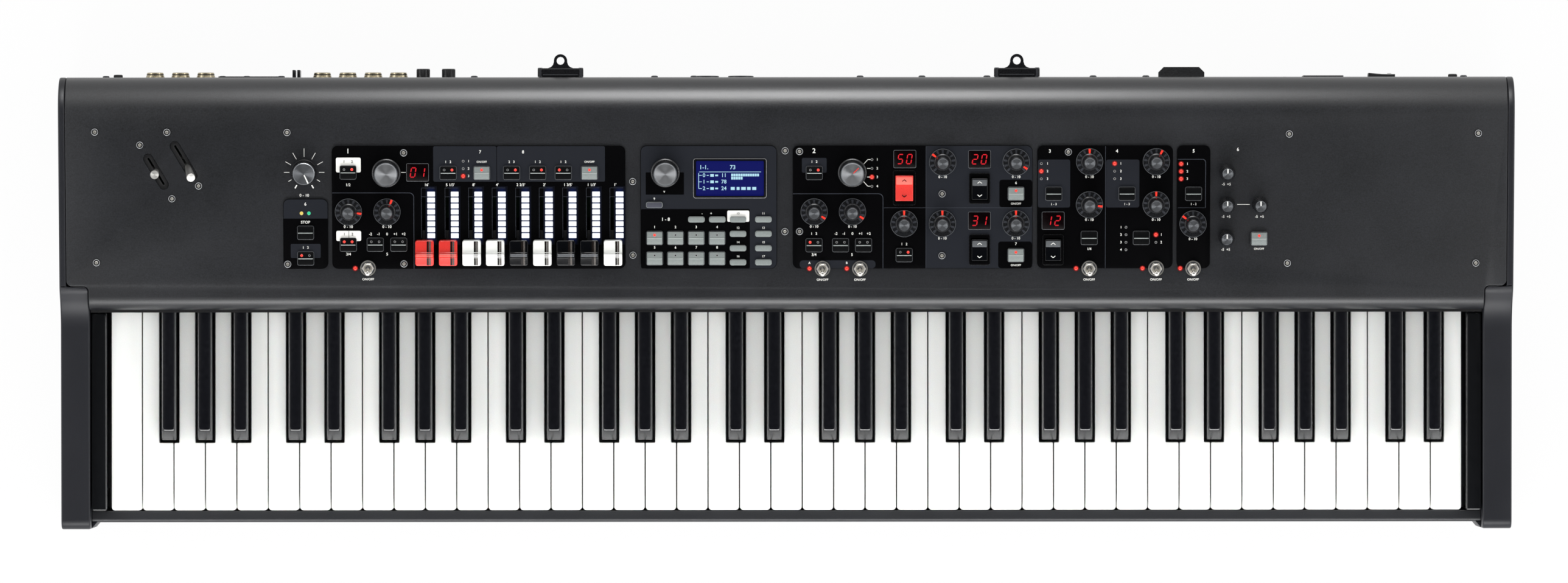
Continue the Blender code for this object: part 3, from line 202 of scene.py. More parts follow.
def plated_steel():
    """Zinc-plated sheet and screws: a duller, mottled grey."""
    made = surface("plated_steel", "#b5b7ba", 0.5, Metallic=1.0)
    return grained(made, 1.5, 0.01, "#bfc1c4", "#a8aaad", (0.44, 0.56))


def silicone(name, colour, pale, shine=0.4):
    """Button rubber with a dusted, dry surface."""
    made = surface(name, colour, 0.5, Specular_IOR_Level=shine)
    return grained(made, 0.8, 0.03, pale, colour, (0.44, 0.56))


def lamp(name, colour, strength, body="#300000"):
    """A lit lamp behind a diffusing lens."""
    return surface(name, body, 0.3, Emission_Color=ink_of(colour), Emission_Strength=strength)


def blue_halo():
    """Painted glow of the drawbar lamps on the sheet beside them: an emission that fades out to its
    sides and ends.
    """
    made = surface("blue_halo", "#04050b", 0.3, Specular_IOR_Level=0.25,
                   Emission_Color=ink_of("#2a49a8"))
    tree = made.node_tree
    shader = tree.nodes["Principled BSDF"]
    across = add(tree, "ShaderNodeSeparateXYZ", {}, {
        "Vector": add(tree, "ShaderNodeUVMap", {"uv_map": "turning"}, {}).outputs["UV"]})
    glow = add(tree, "ShaderNodeMapRange", {"interpolation_type": "SMOOTHSTEP"}, {
        "Value": across.outputs["X"], "To Min": 0.0, "To Max": 0.2})
    faded = add(tree, "ShaderNodeMath", {"operation": "MULTIPLY"}, {
        0: glow.outputs[0], 1: across.outputs["Y"]})
    tree.links.new(faded.outputs[0], shader.inputs["Emission Strength"])
    return made


PAINT = textured_enamel()
MOULDED = moulded_abs("end_abs", "#1b1c20", "#212227", 0.4, 0.28)
SLIP = moulded_abs("slip_abs", "#212225", "#28292c", 0.4)
PIANO = piano_black()
IVORY = key_acrylic()
EBONY = ebony_abs()
FILM = printed_film("black_film", "#050506")
FILM_GREY = printed_film("grey_film", "#23252a")
FILM_LINE = printed_film("line_film", "#3d4047")
WHITE_INK = screen_ink()
KNURL = moulded_abs("knob_rubber", "#141518", "#1a1b1e", 0.28)
RING_FACE = moulded_abs("ring_lens", "#121315", "#16171a", 0.25)
RING_WINDOW = moulded_abs("smoked_window", "#32343a", "#36383d", 0.3)
CAP_METAL = spun_aluminium("spun_cap", "#a9abae", 0.34)
LEVER_METAL = spun_aluminium("turned_lever", "#c8c7c3", 0.4, 0.8)
SMALL_METAL = spun_aluminium("dark_cap", "#888b8f", 0.32)
NICKEL = nickel_plate()
STEEL = plated_steel()
# Near-black standing for shade: painted shade in the wells, grooves and gaps where it is put, and
# the own dark colour of the unlit lamp lenses.
DARK = moulded_abs("shadowed_recess", "#050506", "#07070a", 0.7, 0.2)
BUTTON_BLACK = silicone("black_button", "#060708", "#0a0b0c", 0.04)
BUTTON_GREY = silicone("grey_button", "#767d7b", "#858c8a")
# Pale grey: a painted highlight along the crest of the button ridges and round the rims of the pill
# buttons.
RIDGE = silicone("button_ridge_and_rim_highlight", "#969c9a", "#a4aaa8")
RIM = moulded_abs("button_rim", "#0b0c0e", "#101114", 0.25)
# Pale grey: a painted highlight on the thin edges round buttons, ring knobs, digit windows and the
# selector knobs' caps. It is also the own colour of the knob dots and the brackets' score lines.
PALE_GREY_AND_EDGE_HIGHLIGHT = moulded_abs("pale_grey_and_painted_edge_highlight", "#5b5e62", "#696c70", 0.35)
LAMP_RING = moulded_abs("lamp_ring", "#979797", "#9e9e9e", 0.4)
LAMP_RED = lamp("red_lamp", "#ff3a2c", 1.3)
# Dim red emission round and beside lit lamps: a painted glow, which is no lamp of its own.
LAMP_GLOW = lamp("red_glow", "#b01810", 0.55, "#2a0404")
LAMP_YELLOW = lamp("yellow_lamp", "#e9d36a", 1.0, "#302000")
LAMP_GREEN = lamp("green_lamp", "#2fd49a", 1.0, "#003018")
LAMP_WHITE = lamp("white_lamp", "#f2f7ff", 1.25, "#404040")
HALO = blue_halo()
DIGIT_BACK = moulded_abs("digit_window_glass", "#060102", "#080203", 0.12, 0.5)
DIGIT_ON = lamp("red_digit", "#e0202e", 1.0)
LCD_BACK = lamp("backlit_blue", "#00086c", 0.6, "#000320")
LCD_INK = lamp("backlit_ink", "#b9e6f4", 0.95, "#203040")
BEZEL = moulded_abs("display_bezel", "#0a0b0f", "#0d0e12", 0.15)
CAP_RED = moulded_abs("red_cap", "#d62a22", "#dc352d", 0.3)
CAP_WHITE = moulded_abs("white_cap", "#eceeea", "#f2f3ef", 0.3)
CAP_BLACK = moulded_abs("black_cap", "#06070a", "#08090c", 0.15, 0.2)
# Lighter copies of each cap colour: painted highlights along the ridge lines across the drawbar
# caps.
CAP_RIDGE_HIGHLIGHT = {"red": moulded_abs("red_ridge_highlight", "#fd877d", "#ff8e85", 0.3),
            "white": moulded_abs("white_ridge_highlight", "#fbfbf9", "#ffffff", 0.3),
            "black": moulded_abs("black_ridge_highlight", "#8c8f93", "#929599", 0.3)}
SMOKED = moulded_abs("smoked_strip", "#15100e", "#191311", 0.2, 0.5)
SMOKED_PALE = moulded_abs("smoked_edge", "#534e4a", "#57524e", 0.25, 0.5)
# A lighter red: painted sheen on the upper half of the red rocker, where it catches the light.
RED_ROCKER_SHEEN = moulded_abs("red_rocker_painted_sheen", "#fc6c5f", "#ff7266", 0.35)
RED_GLOSS = moulded_abs("red_rocker", "#d8312a", "#de3b33", 0.3)
NEOPRENE = moulded_abs("neoprene_foot", "#0d0d0e", "#151516", 0.7)
BOARD = moulded_abs("solder_mask", "#0b4622", "#0e4e28", 0.4, 0.5)
# Black: the own colour of the lever slots' brush felt, and painted shade in the strip under the
# deck lip.
BLACK_FELT_AND_SHADE = moulded_abs("slot_brush_and_lip_shade", "#08080a", "#101012", 0.85)
GOLD = grained(surface("contact_plating", "#c8a24a", 0.3, Metallic=1.0), 1.5, 0.003, "#cca750",
               "#c29c44", (0.26, 0.36))
# A grey lighter than the black rockers: painted sheen on their upper half.
GREY_ROCKER_SHEEN = silicone("rocker_painted_sheen", "#4a4d50", "#55585b")
BUTTON_SLATE = silicone("slate_button", "#3c3e49", "#42444f")
JACK_METAL = grained(surface("jack_nickel", "#a69d86", 0.3, Metallic=1.0), 1.5, 0.005, "#aba28b",
                     "#9f967f", (0.26, 0.36))
BRACKET = moulded_abs("blacked_steel", "#0e0f13", "#15161b", 0.28)
RIM_DARK = moulded_abs("grey_pin", "#34363b", "#3c3e43", 0.3)


# Outlines and single shapes

def rounded(corners, closed=True, steps=6):
    """A line through (x, y, radius) corners, each turned as an arc of its radius."""
    line = []
    count = len(corners)
    for i, (x, y, radius) in enumerate(corners):
        here = Vector((x, y))
        if radius == 0 or (not closed and i in (0, count - 1)):
            line.append((x, y))
            continue
        back = (Vector(corners[i - 1][:2]) - here).normalized()
        ahead = (Vector(corners[(i + 1) % count][:2]) - here).normalized()
        half = back.angle(ahead) / 2
        centre = here + (back + ahead).normalized() * radius / sin(half)
        first = here + back * radius / tan(half) - centre
        sweep = first.angle_signed(here + ahead * radius / tan(half) - centre)
        for step in range(steps + 1):
            spoke = first.copy()
            spoke.rotate(Matrix.Rotation(-sweep * step / steps, 2))
            line.append(tuple(centre + spoke))
    return line


def rectangle(x, y, radius=0.0, steps=5):
    corners = [(x[0], y[0]), (x[1], y[0]), (x[1], y[1]), (x[0], y[1])]
    return rounded([(a, b, radius) for a, b in corners], steps=steps)


def centred(width, length, radius=0.0, steps=5):
    return rectangle((-width / 2, width / 2), (-length / 2, length / 2), radius, steps)


def finished(shape):
    bmesh.ops.recalc_face_normals(shape, faces=shape.faces)
    mesh = bpy.data.meshes.new("shape")
    shape.to_mesh(mesh)
    shape.free()
    return mesh


def plate(outline, low, high, edge=0.0, steps=2):
    """A flat outline filled from low to high, with its upper edge rounded."""
    shape = bmesh.new()
    base = shape.faces.new([shape.verts.new((x, y, low)) for x, y in outline])
    lifted = bmesh.ops.extrude_face_region(shape, geom=[base])["geom"]
    top = [item for item in lifted if isinstance(item, bmesh.types.BMVert)]
    bmesh.ops.translate(shape, verts=top, vec=(0, 0, high - low))
    if edge:
        rim = [e for e in shape.edges if all(abs(v.co.z - high) < 1e-6 for v in e.verts)]
        bmesh.ops.bevel(shape, geom=rim, offset=edge, segments=steps, affect="EDGES", profile=0.5)
    return finished(shape)


def soften(mesh, edge, steps=2, above=None, corner=40):
    """Rounds the sharp edges of a shape, or only those higher than a level."""
    shape = bmesh.new()
    shape.from_mesh(mesh)
    bmesh.ops.remove_doubles(shape, verts=shape.verts, dist=1e-4)
    sharp = [
        e for e in shape.edges
        if len(e.link_faces) == 2 and e.calc_face_angle(0) > radians(corner)
        and (above is None or min(v.co.z for v in e.verts) > above)
    ]
    bmesh.ops.bevel(shape, geom=sharp, offset=edge, segments=steps, affect="EDGES", profile=0.5)
    return finished(shape)


def prism(profile, left, right, edge=0.0, steps=2):
    """A (y, z) profile drawn out along x."""
    mesh = plate(profile, left, right)
    mesh.transform(SIDEWAYS)
    return soften(mesh, edge, steps) if edge else mesh


def block(x, y, z, edge=0.0, steps=2):
    mesh = plate(rectangle(x, y), *z)
    return soften(mesh, edge, steps) if edge else mesh


def turned(profile, sides=40):
    """A (radius, height) profile turned about its axis, with a map that runs round it."""
    shape = bmesh.new()
    layer = shape.loops.layers.uv.new("turning")
    rings = []
    for radius, height in profile:
        angles = [2 * pi * i / sides for i in range(sides if radius else 1)]
        rings.append([shape.verts.new((radius * cos(a), radius * sin(a), height)) for a in angles])
    for level, (low, high) in enumerate(zip(rings, rings[1:])):
        for i in range(sides):
            corners = [(low, i, level), (low, i + 1, level), (high, i + 1, level + 1),
                       (high, i, level + 1)]
            seen = {}
            for ring, step, height in corners:
                across = step if len(ring) > 1 else i + 0.5
                seen.setdefault(ring[step % len(ring)], (across / sides, height / len(rings)))
            if len(seen) < 3:
                continue
            face = shape.faces.new(list(seen))
            for loop in face.loops:
                loop[layer].uv = seen[loop.vert]
    return finished(shape)


def placed(name, data):
    """An object of this data, linked to the scene."""
    made = bpy.data.objects.new(name, data)
    bpy.context.scene.collection.objects.link(made)
    return made


def mesh_of(guide):
    """The plain mesh that an object with modifiers gives. The object is removed."""
    bpy.context.scene.collection.objects.link(guide)
    graph = bpy.context.evaluated_depsgraph_get()
    mesh = bpy.data.meshes.new_from_object(guide.evaluated_get(graph))
    bpy.data.objects.remove(guide)
    return mesh


def cut(mesh, *cutters):
    body = bpy.data.objects.new("body", mesh)
    helpers = []
    for cutter in cutters:
        helpers.append(placed("cutter", cutter))
        modifier = body.modifiers.new("Cut", "BOOLEAN")
        modifier.operation = "DIFFERENCE"
        modifier.object = helpers[-1]
    result = mesh_of(body)
    for helper in helpers:
        bpy.data.objects.remove(helper)
    return result


def words(text, size, bold=0.0):
    """Printed figures, standing a hair above what they are printed on."""
    curve = bpy.data.curves.new("words", "FONT")
    curve.body = text
    curve.size = size
    curve.align_x = "CENTER"
    curve.align_y = "CENTER"
    curve.extrude = INK / 2
    curve.offset = bold
    curve.resolution_u = 3
    return mesh_of(bpy.data.objects.new("words", curve))


def holed(mesh, *cutters):
    return cut(mesh, joined(cutters))


def moved(mesh, x=0.0, y=0.0, z=0.0):
    copy = mesh.copy()
    copy.transform(shift(x, y, z))
    return copy


def mirrored(mesh):
    copy = mesh.copy()
    copy.transform(Matrix.Diagonal((-1, 1, 1, 1)))
    copy.flip_normals()
    return copy


def joined(meshes):
    shape = bmesh.new()
    for mesh in meshes:
        shape.from_mesh(mesh)
    mesh = bpy.data.meshes.new("shapes")
    shape.to_mesh(mesh)
    shape.free()
    return mesh


# Node trees that lay out what repeats

def layout_tree(name, kind):
    """Copies of a shape round a circle, along a row, or on given points."""
    tree = bpy.data.node_groups.new(name, "GeometryNodeTree")
    sockets = {"Geometry": "Geometry", "Shape": "Object", "Finish": "Material"}
    sockets.update({
        "circle": {"Count": "Int", "Radius": "Float", "First Angle": "Float", "Step": "Float"},
        "row": {"Count": "Int", "Spacing": "Vector"},
        "points": {"Spin": "Float", "Seed": "Int"},
    }[kind])
    for label, form in sockets.items():
        tree.interface.new_socket(label, in_out="INPUT", socket_type="NodeSocket" + form)
    tree.interface.new_socket("Geometry", in_out="OUTPUT", socket_type="NodeSocketGeometry")
    given = add(tree, "NodeGroupInput", {}, {}).outputs
    index = add(tree, "GeometryNodeInputIndex", {}, {}).outputs[0]
    shape = add(tree, "GeometryNodeObjectInfo", {}, {"Object": given["Shape"]})
    turn = (0.0, 0.0, 0.0)
    if kind == "circle":
        line = add(tree, "GeometryNodeMeshLine", {}, {"Count": given["Count"]})
        angle = add(tree, "ShaderNodeMath", {"operation": "MULTIPLY_ADD"}, {
            0: index, 1: given["Step"], 2: given["First Angle"]})
        turn = add(tree, "ShaderNodeCombineXYZ", {}, {"Z": angle.outputs[0]}).outputs[0]
        arm = add(tree, "ShaderNodeCombineXYZ", {}, {"Y": given["Radius"]})
        place = add(tree, "ShaderNodeVectorRotate", {"rotation_type": "Z_AXIS"}, {
            "Vector": arm.outputs[0], "Angle": angle.outputs[0]})
        points = add(tree, "GeometryNodeSetPosition", {}, {
            "Geometry": line.outputs["Mesh"], "Position": place.outputs[0]}).outputs[0]
    elif kind == "row":
        points = add(tree, "GeometryNodeMeshLine", {}, {
            "Count": given["Count"], "Offset": given["Spacing"]}).outputs["Mesh"]
    else:
        points = given["Geometry"]
        chance = add(tree, "FunctionNodeRandomValue", {"data_type": "FLOAT"}, {
            "Max": given["Spin"], "Seed": given["Seed"]})
        turn = add(tree, "ShaderNodeCombineXYZ", {}, {"Z": chance.outputs["Value"]}).outputs[0]
    copies = add(tree, "GeometryNodeInstanceOnPoints", {}, {
        "Points": points, "Instance": shape.outputs["Geometry"], "Rotation": turn})
    real = add(tree, "GeometryNodeRealizeInstances", {}, {"Geometry": copies.outputs[0]})
    dressed = add(tree, "GeometryNodeSetMaterial", {}, {
        "Geometry": real.outputs[0], "Material": given["Finish"]})
    add(tree, "NodeGroupOutput", {}, {"Geometry": dressed.outputs[0]})
    return tree


TREES = {kind: layout_tree(kind + "_of_copies", kind) for kind in ("circle", "row", "points")}


def copies(kind, shape, finish, points=((0, 0, 0),), **sizes):
    """The shape laid out by one of the trees, as one plain mesh in the shape's own units."""
    carrier_mesh = bpy.data.meshes.new("carrier")
    carrier_mesh.from_pydata([tuple(point) for point in points], [], [])
    carrier = bpy.data.objects.new("carrier", carrier_mesh)
    pattern = placed("pattern", shape)
    modifier = carrier.modifiers.new("Layout", "NODES")
    modifier.node_group = TREES[kind]
    values = {"Shape": pattern, "Finish": finish, "Seed": 7}
    values.update({name.replace("_", " "): value for name, value in sizes.items()})
    for socket in TREES[kind].interface.items_tree:
        if socket.in_out == "INPUT" and socket.name in values:
            modifier[socket.identifier] = values[socket.name]
    mesh = mesh_of(carrier)
    bpy.data.objects.remove(pattern)
    return mesh


# Pieces

def on(place, *shapes):
    """(mesh, finish) pairs at one place, as the parts of a piece."""
    return [(mesh, finish, place) for mesh, finish in shapes]


def piece(name, body, parts, stands_for=(), corner=35):
    """One object from (mesh, finish, place) parts. It rides on the body and stands for nodes."""
    points, faces, marks, turning, finishes = [], [], [], [], []
    for mesh, finish, place in parts:
        if finish not in finishes:
            finishes.append(finish)
        start = len(points)
        points += [place @ vertex.co for vertex in mesh.vertices]
        faces += [[start + i for i in polygon.vertices] for polygon in mesh.polygons]
        marks += [finishes.index(finish)] * len(mesh.polygons)
        flat = [0.0] * (2 * len(mesh.loops))
        if "turning" in mesh.uv_layers:
            mesh.uv_layers["turning"].data.foreach_get("uv", flat)
        turning += flat
    mesh = bpy.data.meshes.new(name)
    mesh.from_pydata(points, [], faces)
    mesh.uv_layers.new(name="turning").data.foreach_set("uv", turning)
    for finish in finishes:
        mesh.materials.append(finish)
    mesh.polygons.foreach_set("material_index", marks)
    mesh.shade_smooth()
    mesh.set_sharp_from_angle(angle=radians(corner))
    made = placed(name, mesh)
    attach(made, body)
    if stands_for:
        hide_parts(*([stands_for] if isinstance(stands_for, str) else stands_for))
    return made


# Camera, light and floor

# The photograph's view: a long lens 8 m above the keys, and almost straight down
LENS_LENGTH, SENSOR_WIDTH = 245.5, 36.0
CAMERA_PLACE, CAMERA_TARGET, CAMERA_ROLL = (-0.021, 0.0, 8.084), (-0.0018, 0.0, 0.084), -0.0007
FLOOR_HALF = 6


def look_at(obj, target):
    """Turns a camera or a light to its target, with +Y upward in its picture."""
    back = (obj.location - Vector(target)).normalized()
    right = Vector((0, 1, 0)).cross(back).normalized()
    obj.rotation_euler = Matrix((right, back.cross(right), back)).transposed().to_euler()


def make_camera():
    lens = bpy.data.cameras.new("camera")
    lens.sensor_width = SENSOR_WIDTH
    lens.lens = LENS_LENGTH
    lens.clip_end = 30
    camera = placed("camera", lens)
    camera.location = CAMERA_PLACE
    look_at(camera, CAMERA_TARGET)
    camera.rotation_euler.rotate_axis("Z", CAMERA_ROLL)
    bpy.context.scene.camera = camera


def any_ray(tree, *kinds):
    """One for a ray of any of these kinds, or else nought."""
    path = add(tree, "ShaderNodeLightPath", {}, {})
    found = path.outputs[kinds[0]]
    for kind in kinds[1:]:
        found = add(tree, "ShaderNodeMath", {"operation": "MAXIMUM"}, {
            0: found, 1: path.outputs[kind]}).outputs[0]
    return found


def make_world():
    """White to the camera. Gloss shows white walls under a dark ceiling.

    What else is lit gets more from the front than from behind.
    """
    scene = bpy.context.scene
    scene.view_settings.view_transform = "Standard"
    world = bpy.data.worlds.new("studio")
    scene.world = world
    world.use_nodes = True
    tree = world.node_tree
    tree.nodes.clear()
    seen_way = add(tree, "ShaderNodeTexCoord", {}, {}).outputs["Generated"]
    upward = add(tree, "ShaderNodeVectorMath", {"operation": "DOT_PRODUCT"}, {
        0: seen_way, 1: (0.0, -0.13, 0.99)})
    forward = add(tree, "ShaderNodeVectorMath", {"operation": "DOT_PRODUCT"}, {
        0: seen_way, 1: (0.0, -1.0, 0.0)})
    lighting = add(tree, "ShaderNodeMapRange", {"interpolation_type": "SMOOTHSTEP"}, {
        "Value": forward.outputs["Value"], "From Min": -0.9, "From Max": 0.6,
        "To Min": 0.42, "To Max": 0.92})
    mirrored_light = add(tree, "ShaderNodeMapRange", {"interpolation_type": "SMOOTHSTEP"}, {
        "Value": upward.outputs["Value"], "From Min": 0.74, "From Max": 0.95,
        "To Min": 1.0, "To Max": 0.015})
    around = add(tree, "ShaderNodeMix", {"data_type": "FLOAT"}, {
        "Factor": any_ray(tree, "Is Glossy Ray"), "A": lighting.outputs[0],
        "B": mirrored_light.outputs[0]})
    level = add(tree, "ShaderNodeMix", {"data_type": "FLOAT"}, {
        "Factor": any_ray(tree, "Is Camera Ray", "Is Transmission Ray"), "A": around.outputs[0],
        "B": 1.0})
    glow = add(tree, "ShaderNodeBackground", {}, {
        "Color": (1, 1, 1, 1), "Strength": level.outputs[0]})
    add(tree, "ShaderNodeOutputWorld", {}, {"Surface": glow.outputs[0]})


def make_floor():
    """White paper, which keeps a trace of the object's shadow."""
    paper = bpy.data.materials.new("white_paper")
    paper.use_nodes = True
    tree = paper.node_tree
    tree.nodes.clear()
    seen = any_ray(tree, "Is Camera Ray", "Is Glossy Ray", "Is Transmission Ray")
    share = add(tree, "ShaderNodeMath", {"operation": "MULTIPLY"}, {0: seen, 1: 0.95})
    matt = add(tree, "ShaderNodeBsdfDiffuse", {}, {"Color": (0.9, 0.9, 0.9, 1)})
    lit = add(tree, "ShaderNodeEmission", {}, {"Color": (1, 1, 1, 1), "Strength": 1.0})
    mixed = add(tree, "ShaderNodeMixShader", {}, {
        0: share.outputs[0], 1: matt.outputs[0], 2: lit.outputs[0]})
    add(tree, "ShaderNodeOutputMaterial", {}, {"Surface": mixed.outputs[0]})
    sheet = bpy.data.meshes.new("floor")
    sheet.from_pydata([(x * FLOOR_HALF, y * FLOOR_HALF, 0)
                       for x, y in ((-1, -1), (1, -1), (1, 1), (-1, 1))], [], [(0, 1, 2, 3)])
    sheet.materials.append(paper)
    placed("floor", sheet)


def softbox(name, place, target, size, power):
    light = bpy.data.lights.new(name, "AREA")
    light.shape = "RECTANGLE"
    light.size, light.size_y = size
    light.energy = power
    box = placed(name, light)
    box.location = place
    look_at(box, target)
    box.visible_camera = False
    return box


def make_lamps():
    """The rear softbox only shows in gloss: it draws the highlight along the front roll."""
    rear_box = softbox("rear_softbox", (0.0, 2.25, 1.78), (0, 0.1, 0.1), (1.6, 1.5), 100)
    rear_box.visible_diffuse = False
    softbox("front_softbox", (0.0, -2.6, 1.4), (0, 0, 0.1), (3.4, 1.0), 88)
    for name, x in (("left_softbox", -3.0), ("right_softbox", 3.0)):
        softbox(name, (x, 0.0, 1.7), (0, 0, 0.1), (0.2, 2.6), 26)


# Places of the controls on the deck, as (x, v)

KNOB_PLACES = {
    "master_volume_knob": (-359.0, 103.3), "organ_model_knob": (-297.9, 103.0),
    "data_knob": (-90.2, 103.0), "voice_knob": (49.0, 103.0),
}
TOGGLES = {
    "organ_toggle": (-311.8, 31.6), "voice_a_toggle": (26.8, 31.0), "voice_b_toggle": (54.7, 31.0),
    "effect_toggle": (225.6, 31.0), "speaker_toggle": (275.4, 31.0), "reverb_toggle": (303.0, 31.0),
}

# Rockers as (x, v, width, length)
ROCKERS = {
    "voice_select_rocker": (87.7, 91.6, 13.2, 19.0),
    "effect_one_rocker": (143.8, 91.1, 12.0, 16.0),
    "effect_two_rocker": (143.8, 45.1, 12.0, 16.0),
    "effect_three_rocker": (198.6, 45.1, 12.0, 16.0),
}
DRAWBAR_X = [-269.5 + 17.54 * i for i in range(9)]
DRAWBAR_V = 43.4
BAR_COLOURS = ("red", "red", "white", "white", "black", "white", "black", "black", "white")
FOOTAGES = ("16'", "5 1/3'", "8'", "4'", "2 2/3'", "2'", "1 3/5'", "1 1/3'", "1'")

# Each lever's slot is (place, length). The slots are slanted by an angle in degrees.
LEVER_SLOTS = {"pitch_lever": ((-469.3, 103.9), 22.7), "modulation_lever": ((-448.6, 112.0), 25.8)}
SLOT_WIDTH, SLOT_SLANT = 6.8, 30.5

# Radii of the holes for knob shafts and toggles, and how far a cutter reaches from the deck
SHAFT_ROOM, TOGGLE_ROOM, CUTTER_REACH = 3.3, 2.7, 8


def circle_line(radius, sides=24):
    return [(radius * cos(2 * pi * i / sides), radius * sin(2 * pi * i / sides))
            for i in range(sides)]


def slot_outline(length, width, place, steps=12):
    half, radius = length / 2, width / 2
    line = [(radius * cos(pi * i / steps), half + radius * sin(pi * i / steps))
            for i in range(steps + 1)]
    line += [(-x, -y) for x, y in line]
    slant = Matrix.Rotation(radians(SLOT_SLANT), 2)
    return [tuple(slant @ Vector(point) + Vector(place)) for point in line]


def through(line, x=0.0, v=0.0):
    """A cutter of this outline, which goes through the deck and the panels on it."""
    return moved(plate(line, -CUTTER_REACH, CUTTER_REACH), x, v)


def shaft_hole(name):
    return through(circle_line(SHAFT_ROOM), *KNOB_PLACES[name])


def lever_hole(name):
    place, length = LEVER_SLOTS[name]
    return through(slot_outline(length, SLOT_WIDTH, place))


def rocker_outline(name):
    _, _, width, length = ROCKERS[name]
    return centred(width + 0.6, length + 1.8)


def rocker_hole(name):
    return through(rocker_outline(name), *ROCKERS[name][:2])


def drawbar_slots():
    return [block((x - 1.8, x + 1.8), (DRAWBAR_V - 4.3, DRAWBAR_V + 41.3),
                  (-CUTTER_REACH, CUTTER_REACH)) for x in DRAWBAR_X]


# Casing

def make_deck_panel():
    """The bent sheet with its two rolls, notched round the arms, and a black felt strip under its
    lip, which also stands in as painted shade for the dark line in front of the lip.
    """
    outer = rounded([(REAR_Y, 104, 0), (REAR_Y, deck_z(REAR_Y), REAR_ROLL),
                     (LIP_Y, LIP_Z, LIP_ROLL), (LIP_Y, 98.5, 0)], closed=False, steps=20)
    drop = SHEET / cos(TILT)
    rear, lip = REAR_Y - SHEET, LIP_Y + SHEET
    inner = rounded([(rear, 104, 0), (rear, deck_z(rear) - drop, REAR_ROLL - SHEET),
                     (lip, deck_z(lip) - drop, LIP_ROLL - SHEET), (lip, 98.5, 0)],
                    closed=False, steps=20)
    sheet = prism(outer + inner[::-1], -PANEL_HALF, PANEL_HALF)
    inside, edge_y = ARM_INNER - GAP, NOTCH_Y + GAP
    notch = rounded([
        (550, -40, 0), (550, edge_y + 4, 0), (PANEL_HALF, edge_y + 4, 0),
        (PANEL_HALF, edge_y, 4), (inside, edge_y, 4), (inside, -40, 0)])
    corner = plate(notch, 80, 140)
    sheet = soften(cut(sheet, corner, mirrored(corner)), 0.45, 2)
    holes = [lever_hole(name) for name in LEVER_SLOTS] + [shaft_hole(name) for name in KNOB_PLACES]
    holes += [through(circle_line(TOGGLE_ROOM), *place) for place in TOGGLES.values()]
    holes += drawbar_slots() + [rocker_hole(name) for name in ROCKERS]
    tool = joined(holes)
    tool.transform(Matrix.Scale(1000, 4) @ DECK)
    # A black felt strip under the lip, partly painted shade: it draws the dark line between the lip
    # and the keys.
    strip = block((-519.5, 519.5), (LIP_Y - 1.9, LIP_Y + 0.4), (97.0, 98.4))
    piece("deck_panel", "case", on(MM, (cut(sheet, tool), PAINT), (strip, BLACK_FELT_AND_SHADE)), "top_panel")


def make_end_blocks():
    """An arm beside the keys and a thin wall along the deck, in one moulding."""
    bend_y = NOTCH_Y - 2.5
    profile = rounded([
        (-177.5, 8, 3), (-177.5, 92, 8), (LIP_Y - 2.5, 97, 38), (bend_y, deck_z(bend_y), 14),
        (REAR_Y, deck_z(REAR_Y), REAR_ROLL), (REAR_Y, 8, 3)], steps=16)
    pocket = [(NOTCH_Y, 16), (REAR_Y - 2.3, 16), (REAR_Y - 2.3, 3), (REAR_Y + 5, 3),
              (REAR_Y + 5, 150), (NOTCH_Y, 150)]
    centre = (ARM_INNER + 4, NOTCH_Y - 4)
    arc = [(centre[0] + 4 * cos(a), centre[1] + 4 * sin(a))
           for a in (pi / 2 + pi / 16 * i for i in range(9))]
    corner = plate(arc + [(ARM_INNER - 5, centre[1]), (ARM_INNER - 5, NOTCH_Y + 5),
                          (centre[0], NOTCH_Y + 5)], 17, 150)
    body = soften(cut(prism(profile, ARM_INNER, HALF_WIDTH),
                      prism(pocket, ARM_INNER - 5, HALF_WIDTH - 5), corner), 1.1, 3)
    for side, mesh in (("right", body), ("left", mirrored(body))):
        piece(side + "_end", "case", [(mesh, MOULDED, MM)], side + "_end_block")


def make_slip_and_cheeks():
    profile = rounded([
        (-172.7, 8, 0), (-172.7, 70, 3), (-164.0, 70, 0.8), (-164.0, 67.2, 0), (-169.9, 67.2, 0),
        (-169.9, 8, 0)], steps=8)
    wedge = plate([(-520.3, -177.0), (-516.6, -172.6), (-520.3, -172.6)], 12, 69, 0.3)
    piece("front_slip", "case", on(MM, (prism(profile, -520.2, 520.2), SLIP), (wedge, MOULDED),
                                   (mirrored(wedge), MOULDED)), "key_slip")
    cheek = block((508.25, 519.75), (-163.7, -15.6), (13.6, 88), 1.4, 4)
    # A strip in painted shade fills the gap between cheek and arm.
    filler = block((519.2, 520.6), (-30, 4), (20, 80))
    for side, meshes in (("right", (cheek, filler)), ("left", (mirrored(cheek), mirrored(filler)))):
        piece(side + "_cheek", "case", on(MM, (meshes[0], PIANO), (meshes[1], DARK)),
              side + "_cheek_block")


def make_feet():
    foot = turned([(0, 1.4), (4.5, 1.4), (5, 0.4), (5.4, 0), (11.2, 0), (12, 0.8), (12.6, 3.4),
                   (14, 5.6), (14, 7.7), (0, 7.7)], 48)
    screw = turned([(0, 1.2), (3.2, 1.2), (3.6, 1.5), (0, 1.5)], 20)
    for end, y in (("front", -150), ("rear", 135)):
        for side, x in (("left", -480), ("right", 480)):
            piece(f"{end}_{side}_bumper", "case",
                  on(MM @ shift(x, y), (foot, NEOPRENE), (screw, STEEL)), f"{end}_{side}_foot")


# Keys. A joint is a line between two white keys, counted from the left end.

OCTAVE, WHITE_KEYS = 7, 43
BLACK_OFFSETS = {0: -2.6, 1: 2.6, 3: -3.4, 4: 0.0, 5: 3.4}
COMB_STARTS = (0, *range(5, WHITE_KEYS, OCTAVE), WHITE_KEYS)
KEY_GAP, BLACK_ROOM = 0.45, 7.5


